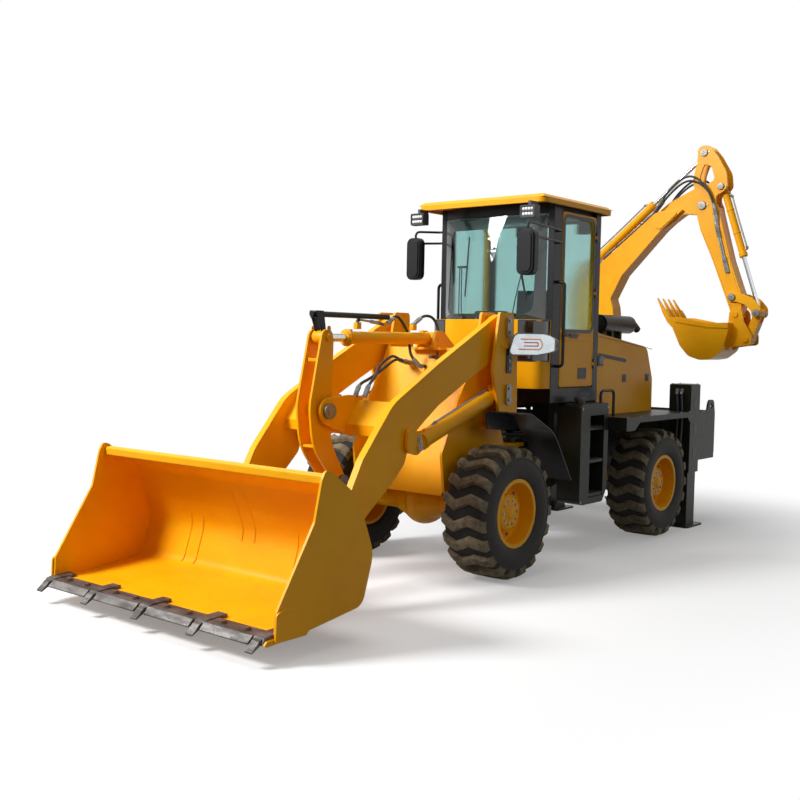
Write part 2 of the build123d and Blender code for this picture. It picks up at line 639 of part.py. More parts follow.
# Rear hinge plates either side of each front tongue plate (low z, high z)
rear_hinge_plates = [(554, 594), (640, 680), (880, 920), (966, 1006)]
with BuildPart() as rear_frame:
    for hand in (1, -1):
        rail = [(pivot_x - 224, 1020, 0), (pivot_x - 224, 545, 0), (-1780, 600, 60),
                (-2100, frame_bottom, 80),
                (-3150, frame_bottom, 80), (wall_x, 700, 0), (wall_x, frame_top, 0), (-1700, frame_top, 60)]
        along(rail, hand * rail_y - rail_sheet / 2, hand * rail_y + rail_sheet / 2)
    block(pivot_x - 225, pivot_x - 200, -rail_y - 12, rail_y + 12, 545, 1020)
    for z_low, z_high in rear_hinge_plates:
        lug_plate = [(pivot_x - 201, -210, 0), (pivot_x - 40, -rear_hinge_radius + 6, 60),
                     (pivot_x + rear_hinge_radius - 8, -rear_hinge_radius + 14, 90),
                     (pivot_x + rear_hinge_radius - 8, rear_hinge_radius - 14, 90),
                     (pivot_x - 40, rear_hinge_radius - 6, 60), (pivot_x - 201, 210, 0)]
        level(lug_plate, z_low, z_high)
    for z_low, z_high in ((548, 686), (874, 1012)):
        bar((pivot_x, 0, z_low), (pivot_x, 0, z_high), hinge_bore)
    # Cross members and the outriggers that carry the cab, the tanks and the fenders
    for x, z_low, z_high in ((-1900, 800, 960), (-3060, 760, 960), (-3400, 760, 960)):
        block(x - 12, x + 12, -rail_y, rail_y, z_low, z_high)
    for hand in (1, -1):
        for x in (-1640, -1850):
            low, high = sorted((hand * rail_y, hand * 560))
            block(x - 20, x + 20, low, high, 880, frame_top)
        for x in (-2240, -3080):
            low, high = sorted((hand * rail_y, hand * 600))
            block(x - 16, x + 16, low, high, 1115, 1215)
            low, high = sorted((hand * (rail_y - 12), hand * (rail_y + 12)))
            block(x - 16, x + 16, low, high, frame_top - 1, 1215)
    for x in (-1560, -1840):
        for hand in (1, -1):
            block(x - 30, x + 30, hand * rail_y - 30, hand * rail_y + 30, frame_top - 1, floor_z - 30)
    # Rear bulkhead that carries the slide frame
    block(wall_x, wall_x + 24, -rail_y - 150, rail_y + 150, 700, 1180)
write(rear_frame.part, "rear_frame")

fender_plate_z = 1215
with BuildPart() as rear_fenders:
    for hand in (1, -1):
        low, high = sorted((hand * 560, hand * 985))
        block(-3250, -1790, low, high, fender_plate_z, fender_plate_z + 10)
        low, high = sorted((hand * 975, hand * 985))
        skirt = [(-1790, fender_plate_z + 5, 0), (-3250, fender_plate_z + 5, 0), (-3250, 1120, 0),
                 (-3190, 1120, 60),
                 (-3140, 1172, 60), (-2060, 1172, 60), (-1960, 1100, 60), (-1790, 1100, 0)]
        along(skirt, low, high)
        low, high = sorted((hand * 560, hand * 985))
        block(-1800, -1790, low, high, 1100, fender_plate_z + 5)
write(rear_fenders.part, "rear_fenders")

# Side tanks with the steps cut in; treads (z) cross each recess
tank_outer, tank_inner = 800, 560
tread_heights = [520, 830, 1130]
with BuildPart() as tanks:
    for hand in (1, -1):
        low, high = sorted((hand * tank_inner, hand * tank_outer))
        body = [(-1270, 1360, 40), (-1270, 470, 60), (-1330, 440, 40), (-1700, 440, 40), (-1780, 560, 60),
                (-1780, 1360, 30)]
        along(body, low, high)
        step_low, step_high = sorted((hand * (tank_outer - 150), hand * (tank_outer + 1)))
        block(-1700, -1440, step_low, step_high, 500, 1250, Mode.SUBTRACT)
        for tread_z in tread_heights:
            tread_low, tread_high = sorted((hand * (tank_outer - 151), hand * (tank_outer - 6)))
            block(-1701, -1439, tread_low, tread_high, tread_z - 14, tread_z + 14)
        bar((-1360, hand * (tank_outer - 70), 1358), (-1360, hand * (tank_outer - 70), 1392), 45)
write(tanks.part, "tanks")

with BuildPart() as engine_block:
    block(-2900, -2120, -250, 250, 1010, 1640)
    block(-2860, -2200, -170, 170, 1640, 1760)
    for hand in (1, -1):
        for x in (-2310, -2820):
            low, high = sorted((hand * 240, hand * (rail_y + 12)))
            block(x - 40, x + 40, low, high, frame_top, 1060)
write(engine_block.part, "engine_block")

muffler_x, muffler_y, muffler_z = -2560, 290, 2115
muffler_pipe = 40
hood_front_top, hood_rear_top = (-1900, 2012), (-2940, 1885)


def hood_top(x):
    """Height of the hood's top sheet at x."""
    share = (hood_front_top[0] - x) / (hood_front_top[0] - hood_rear_top[0])
    return hood_front_top[1] + share * (hood_rear_top[1] - hood_front_top[1])


hood_rows = [(-1900, fender_plate_z + 10, 0), (*hood_front_top, 0), (*hood_rear_top, 120),
             (-3080, 1560, 120),
             (-3085, fender_plate_z + 10, 0)]
with BuildPart() as hood:
    along(hood_rows, -hood_half, hood_half)
    hood_inner = [(-1901 + hood_sheet, fender_plate_z, 0), (-1901 + hood_sheet, 2004, 0),
                  (-2934, 1877, 114),
                  (-3072, 1558, 114), (-3077, fender_plate_z, 0)]
    along(hood_inner, -hood_half + hood_sheet, hood_half - hood_sheet, Mode.SUBTRACT)
    block(-1920, -1880, -450, 450, 1260, 1900, Mode.SUBTRACT)
    # Rear opening for the grille and the slots in the flanks
    block(-3100, -3040, -450, 450, 1300, 1500, Mode.SUBTRACT)
    for hand in (1, -1):
        low, high = sorted((hand * (hood_half - 20), hand * (hood_half + 1)))
        slot = [(-1920, 1812, 12), (-1920, 1788, 12), (-2480, 1733, 12), (-2480, 1757, 12)]
        along(slot, low, high, Mode.SUBTRACT)
    bar((muffler_x, muffler_y, 1880), (muffler_x, muffler_y, 2010), muffler_pipe + 8, Mode.SUBTRACT)
write(hood.part, "hood")

with BuildPart() as rear_grille:
    block(-3094, -3085, -462, 462, 1288, 1512)
    block(-3095, -3084, -440, 440, 1310, 1490, Mode.SUBTRACT)
    for index in range(9):
        z = 1318 + index * 20
        slat = [(-3093, z, 0), (-3086, z + 8, 0), (-3086, z + 11, 0), (-3093, z + 3, 0)]
        along(slat, -441, 441)
write(rear_grille.part, "rear_grille")

with BuildPart() as muffler:
    bar((-2480, muffler_y, muffler_z), (-3120, muffler_y, muffler_z), 92)
    bar((-2460, muffler_y, muffler_z), (-3140, muffler_y, muffler_z), 60)
    bar((-3130, muffler_y, muffler_z), (-3250, muffler_y, muffler_z), 38)
    with Locations((-3250, muffler_y, muffler_z)):
        Sphere(38)
    bar((-3250, muffler_y, muffler_z), (-3325, muffler_y, muffler_z - 45), 38)
    bar((muffler_x, muffler_y, 1925), (muffler_x, muffler_y, muffler_z - 60), muffler_pipe)
    for x in (-2680, -2860):
        foot = [(x - 20, hood_top(x - 20), 0), (x + 20, hood_top(x + 20), 0), (x + 20, muffler_z - 60, 0),
                (x - 20, muffler_z - 60, 0)]
        along(foot, muffler_y - 50, muffler_y + 50)
write(muffler.part, "muffler")

# ---------------------------------------------------------------- cab
# Nose plan (x, y, radius)
nose_rows = [(-1016, -615, 0), (-1016, 615, 0), (-858, 600, 120), (-775, 300, 300), (-758, 0, 500),
             (-775, -300, 300), (-858, -600, 120)]
hinge_axis = (door_rear - 3, door_outer + 6)
knuckle_radius, knuckle_gap = 10, 1
knuckle_heights = (1720, 2380, 2900)
with BuildPart() as cab_frame:
    block(rear_post[0], front_post[1], -cab_half, cab_half, floor_z - 30, floor_z)
    for hand in (1, -1):
        low, high = sorted((hand * (cab_half - post_depth), hand * cab_half))
        block(*front_post, low, high, floor_z, header_high)
        block(*rear_post, low, high, floor_z, header_high)
        block(rear_post[0], front_post[1], low, high, floor_z, sill_top)
        low, high = sorted((hand * 520, hand * 580))
        block(rear_post[0], front_post[1], low, high, header_low, header_high)
    header = [(-1150, -560, 0), (-1150, 560, 0), (-1016, 560, 0), (-930, 300, 300), (-902, 0, 500),
              (-930, -300, 300),
              (-1016, -560, 0)]
    level(header, header_low, header_high)
    block(rear_post[0], rear_post[1], -560, 560, header_low, header_high)
    # Frame's half of each door hinge
    for z in knuckle_heights:
        for z_low in (z - 45, z + 15):
            bar((*hinge_axis, z_low), (*hinge_axis, z_low + 30), knuckle_radius)
            block(hinge_axis[0] - 22, hinge_axis[0], cab_half - 1, cab_half + 10, z_low, z_low + 30)
    # Nose bulkhead below the dash
    block(-1040, -1016, -560, 560, floor_z, sill_top)
write(cab_frame.part, "cab_frame")

window_rows = [(door_front - window_edge, window_low, 60), (door_front - window_edge, window_high, 60),
               (door_rear + window_edge, window_high, 60), (door_rear + window_edge, window_low, 60)]
door_rows = [(door_front, door_low, 25), (door_front, door_high, 25), (door_rear, door_high, 25),
             (door_rear, door_low, 25)]
seat_gap = 0.3
with BuildPart() as cab_panels:
    level(nose_rows, nose_low, nose_top)
    inner_nose = [(x - nose_sheet, y * 0.985, radius) for x, y, radius in nose_rows]
    inner_nose[0] = (-1017, -606, 0)
    inner_nose[1] = (-1017, 606, 0)
    level(inner_nose, nose_low + nose_sheet, nose_top - nose_sheet, Mode.SUBTRACT)
    # Fixed panel opposite the door, seated in its opening
    block(rear_post[1] + seat_gap, front_post[0] - seat_gap, -door_outer, -door_inner, sill_top + seat_gap,
          header_low - seat_gap)
    along(window_rows, -door_outer - 1, -door_inner + 1, Mode.SUBTRACT)
    block(-1860, -1848, -560, 560, floor_z, 2000)
write(cab_panels.part, "cab_panels")

with BuildPart() as cab_glass:
    # Windscreen: bottom and top arcs (end x, middle x, height)
    arcs = [(-1010, -772, nose_top), (-1010, -908, header_low)]
    for end_x, middle_x, z in arcs:
        with BuildSketch(Plane.XY.offset(z)):
            with BuildLine():
                ThreePointArc((end_x, -560), (middle_x, 0), (end_x, 560))
                Line((end_x, 560), (end_x - glass, 557))
                ThreePointArc((end_x - glass, 557), (middle_x - glass, 0), (end_x - glass, -557))
                Line((end_x - glass, -557), (end_x, -560))
            make_face()
    loft(ruled=True)
    along(window_rows, -606, -600)
    block(-1857, -1851, -560, 560, 2000, header_low)
write(cab_glass.part, "cab_glass")

with BuildPart() as roof:
    slab = [(roof_front, -roof_half, 70), (roof_front, roof_half, 70), (roof_rear, roof_half, 70),
            (roof_rear, -roof_half, 70)]
    level(slab, roof_z, roof_shoulder)
    with BuildSketch(Plane.XY.offset(roof_shoulder)):
        with Locations(((roof_front + roof_rear) / 2, 0)):
            Rectangle(roof_front - roof_rear - 10, 2 * roof_half - 10)
    with BuildSketch(Plane.XY.offset(roof_top)):
        with Locations(((roof_front + roof_rear) / 2, 0)):
            Rectangle(roof_front - roof_rear - 90, 2 * roof_half - 90)
    loft(ruled=True)
    block(roof_rear + 26, roof_front - 26, -roof_half + 26, roof_half - 26, roof_z - 1, header_high,
          Mode.SUBTRACT)
write(roof.part, "roof")

with BuildPart() as door:
    along(door_rows, door_inner, door_outer)
    along(window_rows, door_inner - 1, door_outer + 1, Mode.SUBTRACT)
    block(-1270, -1190, door_outer - 1, door_outer + 26, 1935, 1965)
    for z in knuckle_heights:
        bar((*hinge_axis, z - 46), (*hinge_axis, z + 46), knuckle_radius + knuckle_gap, Mode.SUBTRACT)
        bar((*hinge_axis, z - 15 + knuckle_gap), (*hinge_axis, z + 15 - knuckle_gap), knuckle_radius)
        block(hinge_axis[0], door_rear + 20, door_outer - 1, door_outer + 8, z - 15 + knuckle_gap,
              z + 15 - knuckle_gap)
write(door.part, "door")

with BuildPart() as door_glass:
    along(window_rows, 600, 606)
write(door_glass.part, "door_glass")

with BuildPart() as seat:
    block(-1620, -1380, -150, 150, floor_z, 1705)
    along([(-1700, 1700, 20), (-1240, 1700, 40), (-1230, 1800, 50), (-1640, 1830, 0), (-1700, 1830, 0)],
          -240, 240)
    along([(-1640, 1800, 0), (-1720, 1800, 40), (-1800, 2420, 40), (-1710, 2440, 50), (-1640, 1900, 60)],
          -230, 230)
    for hand in (1, -1):
        low, high = sorted((hand * 239, hand * 300))
        block(-1680, -1400, low, high, 1960, 2010)
        low, high = sorted((hand * 229, hand * 252))
        block(-1700, -1660, low, high, 1780, 1990)
write(seat.part, "seat")

steering_radius = 185
knob_foot, knob_top = -3, 56    # along the wheel's axis, from its plane
with BuildPart() as steering:
    bar((-1086, 0, floor_z - 20), (-1150, 0, 2080), 45)
    block(-1180, -980, -100, 100, floor_z - 60, floor_z, Mode.SUBTRACT)
    bar((-1148, 0, 2060), (-1163, 0, 2118), 40)
    wheel_plane = Plane(origin=(-1160, 0, 2110), x_dir=(0, 1, 0), z_dir=(-0.35, 0, 0.94))
    for turn in (0, 120, 240):
        tip = Vector(0.93 * steering_radius, 0, 0).rotate(Axis.Z, turn)
        bar((-1160, 0, 2110), tuple(wheel_plane.from_local_coords(tip)), 10)
    with Locations(wheel_plane.location):
        Torus(steering_radius, 15)
    # Spinner knob on the rim
    knob = [wheel_plane.from_local_coords((0, steering_radius, height)) for height in (knob_foot, knob_top)]
    bar(tuple(knob[0]), tuple(knob[1]), 20)
with BuildPart() as console:
    block(-1780, -1380, -520, -380, floor_z, 1960)
    for y in (-480, -420):
        bar((-1500, y, 1955), (-1470, y, 2140), 9)
        with Locations((-1470, y, 2150)):
            Sphere(22)
controls = Compound([steering.part, console.part])
write(controls, "controls")

# Headlamps stand outboard of the loader towers on brackets; outline (x, y) of the left one
headlamp_low, headlamp_high = 1795, 1988
headlamp_rows = [(-232, 677, 30), (-418, 960, 70), (-470, 985, 20), (-492, 955, 20), (-455, 800, 80),
                 (-350, 677, 30)]
with BuildPart() as headlamps:
    for hand in (1, -1):
        level([(x, hand * y, radius) for x, y, radius in headlamp_rows], headlamp_low, headlamp_high)
        low, high = sorted((hand * (outer_y + plate), hand * 720))
        block(-345, -300, low, high, 1850, 1890)
write(headlamps.part, "headlamps")

# Roof work lamps and their brackets: face x, bracket span, distance from the middle
work_lamps = [(-640, -748, -630, 600), (-2040, -2050, -1942, 350)]
lamp_half_width, lamp_half_depth = 74, 40
with BuildPart() as lamps:
    for hand in (1, -1):
        for x_lamp, x_bracket_low, x_bracket_high, y_lamp in work_lamps:
            low, high = sorted((hand * y_lamp - lamp_half_width, hand * y_lamp + lamp_half_width))
            along([(x_lamp - lamp_half_depth, 2972, 12), (x_lamp + lamp_half_depth, 2972, 12),
                   (x_lamp + lamp_half_depth, 3080, 12), (x_lamp - lamp_half_depth, 3080, 12)], low, high)
            block(x_bracket_low, x_bracket_high, hand * y_lamp - 15, hand * y_lamp + 15, 3079, roof_z)
write(lamps.part, "lamps")

# Mirrors (side, centre x, centre y, low z, high z): domed housings hung from two tubes off the front posts
mirror_places = [(1, -300, 800, 2460, 2840), (-1, -900, -850, 2490, 2890)]
mirror_layers = [(0, -30, 24), (12, 23, 38), (28, 37, 48)]    # inset, low and high depth ahead of x
with BuildPart() as mirrors:
    for hand, x, y, z_low, z_high in mirror_places:
        for inset, low, high in mirror_layers:
            radius = 60 - inset / 2
            face = [(y - 88 + inset, z_low + inset, radius), (y + 88 - inset, z_low + inset, radius),
                    (y + 88 - inset, z_high - inset, radius), (y - 88 + inset, z_high - inset, radius)]
            across(face, x + low, x + high)
        post_x = -1060
        post_top = z_high + 60
        bent_tube([(post_x, hand * cab_half, post_top), (post_x, hand * (cab_half + 60), post_top),
                   (x, y, post_top), (x, y, z_high - 20)], 40, 11)
        bent_tube([(post_x, hand * cab_half, z_high - 45), (post_x, hand * (cab_half + 60), z_high - 45),
                   (x - 90, y - hand * 14, z_high - 45), (x - 20, y, z_high - 45)], 30, 11)
write(mirrors.part, "mirrors")

rail_tube = 14
with BuildPart() as handrails:
    for hand in (1, -1):
        bent_tube([(-1083, hand * cab_half, 1700), (-1083, hand * 700, 1700), (-1083, hand * 700, 2450),
                   (-1083, hand * cab_half, 2450)], 40, rail_tube)
        bent_tube([(-1730, hand * 740, 1360), (-1730, hand * 740, 1470), (-1985, hand * 740, 1470),
                   (-1985, hand * 740, fender_plate_z + 10)], 50, rail_tube)
write(handrails.part, "handrails")

# ---------------------------------------------------------------- slide frame and stabilisers
back_wall = (wall_x - 20, wall_x)
with BuildPart() as slide_frame:
    block(*back_wall, -column_outer, column_outer, slide_low, slide_high)
    for z_flange, z_bar_low, z_bar_high in ((slide_high - slide_step, slide_high - slide_step, slide_high),
                                            (slide_low + slide_step - flange, slide_low,
                                             slide_low + slide_step)):
        block(rail_rear, back_wall[1] - 1, -column_outer, column_outer, z_flange, z_flange + flange)
        block(rail_rear, rail_rear + bar_thickness, -column_outer, column_outer, z_bar_low, z_bar_high)
    for hand in (1, -1):
        low, high = sorted((hand * column_inner, hand * column_outer))
        block(column_rear, column_front, low, high, column_bottom, column_top)
        block(back_wall[1] - 1, column_rear + 1, low, high, slide_low, slide_high)
        low, high = sorted((hand * (column_inner + column_wall), hand * (column_outer - column_wall)))
        block(column_rear + column_wall, column_front - column_wall, low, high, column_bottom - 1,
              column_top - column_wall, Mode.SUBTRACT)
        # End plate with its hook and the tie-down ear
        low, high = sorted((hand * (column_outer - 20), hand * column_outer))
        end_plate = [(wall_x, slide_low, 0), (-3900, slide_low, 40), (-3936, 760, 40), (-3936, 1180, 60),
                     (-3900, 1330, 50), (-3770, 1330, 50), (-3730, 1215, 30), (wall_x, 1215, 0)]
        along(end_plate, low, high)
        pin_y((-3840, 1262), low - 1, high + 1, 28, Mode.SUBTRACT)
        # Wear pads at the column's mouth
        low, high = sorted((hand * (column_inner + column_wall - 1),
                            hand * (column_inner + column_wall + 7.5)))
        block(-3460, -3370, low, high, 600, 680)
        low, high = sorted((hand * (column_outer - column_wall + 1),
                            hand * (column_outer - column_wall - 7.5)))
        block(-3460, -3370, low, high, 600, 680)
write(slide_frame.part, "slide_frame")

foot_thickness = 20
for leg_name, hand in (("left", 1), ("right", -1)):
    with BuildPart() as stabiliser:
        low, high = sorted((hand * (column_inner + column_wall + 8),
                            hand * (column_outer - column_wall - 8)))
        block(column_rear + column_wall + leg_gap, column_front - column_wall - leg_gap, low, high,
              foot_thickness, leg_top)
        block(column_rear + column_wall + leg_gap + 10, column_front - column_wall - leg_gap - 10, low + 10,
              high - 10,
              foot_thickness + 60, leg_top - 12, Mode.SUBTRACT)
        low, high = sorted((hand * 600, hand * 960))
        foot = [(-3660, low, 40), (-3270, low, 40), (-3270, high, 40), (-3660, high, 40)]
        level(foot, 0, foot_thickness)
        for y in (low + 60, high - 60):
            along([(-3540, foot_thickness - 1, 0), (-3290, foot_thickness - 1, 0), (-3340, 110, 20),
                   (-3490, 110, 20)],
                  y - 8, y + 8)
        block(-3490, -3340, low + 52, high - 52, foot_thickness - 1, 60)
    write(stabiliser.part, f"stabiliser_{leg_name}")

carriage_half = 175
carriage_front, carriage_back = rail_rear - 6, -3985
king_lug_radius, king_pin = 90, 45
king_lugs = [(714, 770), (1150, 1200)]
with BuildPart() as carriage:
    low, high = swing_y - carriage_half, swing_y + carriage_half
    block(carriage_back, carriage_front, low, high, 640, 1270)
    hook_back = rail_rear + bar_thickness + 8
    for z_plate, z_hook_low, z_hook_high in ((slide_high + 6, 1168, slide_high + 7),
                                             (slide_low - 36, slide_low - 7, 742)):
        block(carriage_back, hook_back + 20, low, high, z_plate, z_plate + 30)
        block(hook_back, hook_back + 20, low, high, z_hook_low, z_hook_high)
    for z_low, z_high in ((slide_low + 10, slide_low + 70), (slide_high - 70, slide_high - 10)):
        block(carriage_front - 1, rail_rear - 0.5, low, high, z_low, z_high)
    for z_low, z_high in king_lugs:
        king_lug = [(carriage_back + 1, swing_y - king_lug_radius, 0),
                    (carriage_back + 1, swing_y + king_lug_radius, 0),
                    (swing_x - king_lug_radius, swing_y + king_lug_radius, 88),
                    (swing_x - king_lug_radius, swing_y - king_lug_radius, 88)]
        level(king_lug, z_low, z_high)
    for z_low, z_high in ((708, 876), (1034, 1206)):
        bar((swing_x, swing_y, z_low), (swing_x, swing_y, z_high), king_pin)
write(carriage.part, "carriage")

# ---------------------------------------------------------------- backhoe
post_inner, post_outer = 106, 130


def hoe_plate(rows, inner, outer, mode=Mode.ADD):
    """Pair of plates (y, z, radius) either side of the boom's plane."""
    for hand in (1, -1):
        low, high = sorted((swing_x + hand * inner, swing_x + hand * outer))
        across(rows, low, high, mode)


def hoe_solid(rows, half, mode=Mode.ADD):
    """Outline (y, z, radius) filled both sides of the boom's plane."""
    across(rows, swing_x - half, swing_x + half, mode)


def hoe_pin(point, half, radius, mode=Mode.ADD):
    """Pin or bore through the boom's plane at (y, z)."""
    pin_x(point, swing_x - half, swing_x + half, radius, mode)


def hoe_heads(point, inner, outer, radius):
    """Pin heads on the outer faces only, either side."""
    for hand in (1, -1):
        low, high = sorted((swing_x + hand * inner, swing_x + hand * outer))
        pin_x(point, low, high, radius)


with BuildPart() as swing_post:
    post_rows = [(-795, 776, 0), (-570, 776, 40), (-510, 890, 50), (-515, 1040, 80), (-545, 1210, 80),
                 (-655, 1320, 60), (-662, 1460, 80), (-845, 1460, 80), (-850, 1290, 60), (-700, 1262, 20),
                 (-633, 1212, 20), (-633, 1144, 0), (-795, 1144, 0)]
    hoe_plate(post_rows, post_inner, post_outer)
    for z_low, z_high in ((776, 876), (1034, 1144)):
        hub_rows = [(swing_x - post_inner - 1, -795, 0), (swing_x + post_inner + 1, -795, 0),
                    (swing_x + post_inner + 1, -643, 0), (swing_x - post_inner - 1, -643, 0)]
        level(hub_rows, z_low, z_high)
    bar((swing_x, swing_y, 700), (swing_x, swing_y, 1210), king_pin + pin_gap, Mode.SUBTRACT)
    hoe_pin(boom_ram_base, post_outer + 14, 30)
    hoe_plate([(-640, 895, 50), (-530, 895, 50), (-530, 1005, 50), (-640, 1005, 50)], 56, post_inner + 1)
    hoe_pin(boom_foot, post_outer + 14, 40)
write(swing_post.part, "swing_post")

# Boom: full-width plates up to the tongue, which passes between the dipper's head plates
boom_rows = [
    (-843, 1300, 82), (-667, 1300, 82), (-650, 1480, 60), (-618, 1880, 150), (-565, 2040, 50),
    (-490, 2066, 40),
    (-395, 2070, 85), (-398, 2250, 60), (-408, 2345, 50), (-441, 2443, 40), (-300, 2713, 40),
    (166, 3207, 0), (398, 3403, 20), (425, 3432, 15),
    (150, 3425, 0), (85, 3399, 30), (-560, 2880, 120), (-749, 2918, 60), (-880, 2830, 120),
    (-985, 2570, 200),
    (-1008, 2300, 300), (-900, 1700, 300),
]
tongue_rows = [(60, 3379, 0), (244, 3519, 60), (546, 3655, 40), (650, 3560, 30), (740, 3545, 90),
               (742, 3375, 90),
               (600, 3362, 80), (428, 3382, 60), (166, 3207, 0)]
with BuildPart() as boom:
    hoe_solid(boom_rows, boom_half)
    hoe_solid(tongue_rows, tongue_half)
    hoe_solid([(-575, 1850, 0), (-565, 2245, 50), (-330, 2245, 0), (-330, 1850, 0)], boom_slot_half,
              Mode.SUBTRACT)
    hoe_solid([(-815, 2960, 0), (-815, 2830, 60), (-750, 2795, 60), (-680, 2800, 60), (-520, 2925, 0),
               (-520, 2960, 0)],
              56, Mode.SUBTRACT)
    hoe_plate([(76, 3300, 20), (95, 3245, 20), (160, 3220, 0), (385, 3405, 20), (150, 3420, 0),
               (100, 3390, 20)],
              boom_half - 1, boom_half + 9)
    hoe_pin(dipper_ram_base, boom_half + 14, 28)
    hoe_heads(boom_lobe, boom_half - 1, boom_half + 14, 34)
    hoe_pin(boom_foot, boom_half + 1, 40 + pin_gap, Mode.SUBTRACT)
    hoe_pin(dipper_pin, tongue_half + 1, 35 + pin_gap, Mode.SUBTRACT)
write(boom.part, "boom")

head_inner = dipper_half - head_plate
head_rows = [
    (572, 3960, 40), (572, 4112, 74), (700, 4112, 60), (800, 3990, 200), (912, 3800, 200), (928, 3650, 70),
    (880, 3592, 50), (800, 3560, 40), (800, 3360, 60), (600, 3330, 0), (560, 3480, 100), (545, 3650, 40),
    (526, 3740, 60),
]
window_cut = [(655, 3915, 30), (735, 3880, 60), (782, 3730, 60), (700, 3690, 30), (612, 3690, 30),
              (612, 3792, 30)]
dipper_rows = [
    (579, 3420, 0), (590, 3340, 0), (633, 3189, 60), (785, 2854, 60), (1010, 2285, 30), (1030, 2195, 50),
    (1120, 2195, 55), (1130, 2330, 60), (1120, 2482, 60), (986, 2847, 80), (825, 3440, 30), (800, 3470, 0),
    (790, 3345, 0),
]
with BuildPart() as dipper:
    hoe_plate(head_rows, head_inner, dipper_half)
    hoe_plate(window_cut, head_inner - 1, dipper_half + 1, Mode.SUBTRACT)
    hoe_solid(dipper_rows, dipper_half)
    hoe_solid([(400, 3600, 0), (400, 3338, 0), (810, 3338, 0), (860, 3600, 0)], head_inner, Mode.SUBTRACT)
    hoe_pin(dipper_pin, dipper_half + 14, 35)
    hoe_pin(hoe_ram_base, dipper_half + 10, 25)
    hoe_heads(dipper_ram_eye, dipper_half - 1, dipper_half + 10, 28)
    hoe_pin(guide_pin, dipper_half + 1, 28 + pin_gap, Mode.SUBTRACT)
    hoe_pin(hoe_bucket_pin, dipper_half + 1, 32 + pin_gap, Mode.SUBTRACT)
write(dipper.part, "dipper")

guide_inner, guide_outer = dipper_half + 6, dipper_half + 28
guide_rows = [
    (1022, 2492, 44), (1135, 2482, 120), (1262, 2430, 160), (1350, 2330, 90), (1352, 2224, 48),
    (1258, 2218, 45),
    (1245, 2290, 60), (1180, 2360, 90), (1085, 2392, 60), (978, 2396, 46), (978, 2480, 40),
]
with BuildPart() as guide_link:
    hoe_plate(guide_rows, guide_inner, guide_outer)
    hoe_pin(guide_pin, guide_outer + 14, 28)
    for hand in (1, -1):
        low, high = sorted((swing_x + hand * 42, swing_x + hand * (guide_outer + 14)))
        pin_x(hoe_ram_eye, low, high, 28)
        low, high = sorted((swing_x + hand * 68, swing_x + hand * guide_inner))
        pin_x(hoe_ram_eye, low, high, 46)
write(guide_link.part, "guide_link")

# Connecting link from the ram's pin to the bucket's ear, forked round the ram's eye
link_run = span(hoe_ram_eye, hoe_ear)
with BuildPart() as bucket_push_link:
    for hand in (1, -1):
        bar((0, 0, hand * 42), (0, 0, hand * 62), 48)
        block(0, link_run * 0.5, -44, 44, *sorted((hand * 42, hand * 62)))
    block(95, link_run, -44, 44, -62, 62)
    bar((link_run, 0, -70), (link_run, 0, 70), 50)
    bar((link_run, 0, -84), (link_run, 0, 84), 27)
    bar((0, 0, -63), (0, 0, 63), 28 + pin_gap, Mode.SUBTRACT)
write(bucket_push_link.part.moved(hoe_place(hoe_ram_eye, hoe_ear)), "push_link")

hoe_sheet = 12
hoe_shell = [(318, 2226, 0), (400, 2118, 60), (500, 1905, 120), (600, 1795, 120), (740, 1752, 160),
             (872, 1772, 120),
             (988, 1862, 120), (1046, 2076, 60), (1046, 2165, 0)]
hoe_cheek = [(318, 2226, 0), (400, 2118, 60), (500, 1905, 120), (600, 1795, 120), (740, 1752, 160),
             (872, 1772, 120),
             (988, 1862, 120), (1046, 2076, 60), (1046, 2165, 0), (811, 2160, 0), (476, 2222, 0)]
ear_rows = [(985, 1860, 0), (1035, 1900, 60), (1180, 1920, 60), (1262, 1925, 70), (1258, 2035, 60),
            (1168, 2180, 60),
            (1150, 2322, 72), (1012, 2322, 72), (1000, 2170, 40)]
hoe_teeth = [-202, -67, 67, 202]
with BuildPart() as hoe_bucket:
    hoe_plate(hoe_cheek, hoe_bucket_half - hoe_sheet, hoe_bucket_half)
    shell_plane = Plane(origin=(swing_x - hoe_bucket_half + 1, 0, 0), x_dir=(0, 1, 0), z_dir=(1, 0, 0))
    extrude(strip(shell_plane, hoe_shell, hoe_sheet), amount=2 * hoe_bucket_half - 2)
    # Rim bands on the cheeks and the top beam
    hoe_plate([(476, 2222, 0), (811, 2160, 0), (1046, 2165, 0), (1046, 2105, 0), (811, 2110, 0),
               (440, 2170, 0)],
              hoe_bucket_half - 1, hoe_bucket_half + 8)
    hoe_solid([(1046, 2165, 0), (1046, 2090, 0), (1000, 2120, 20), (985, 2165, 0)], hoe_bucket_half - 1)
    hoe_plate(ear_rows, guide_inner, guide_outer)
    for station in hoe_teeth:
        low, high = swing_x + station - 22, swing_x + station + 22
        across([(312, 2320, 10), (270, 2290, 10), (342, 2166, 0), (400, 2110, 0), (400, 2150, 0),
                (360, 2250, 0)], low, high)
        across([(300, 2318, 0), (272, 2286, 0), (206, 2435, 0), (213, 2437, 0)], low + 8, high - 8)
    hoe_pin(hoe_bucket_pin, dipper_half, 32)
    hoe_heads(hoe_bucket_pin, dipper_half - 1, guide_outer + 12, 32)
    hoe_heads(hoe_ear, guide_outer - 1, guide_outer + 12, 30)
write(hoe_bucket.part, "hoe_bucket")

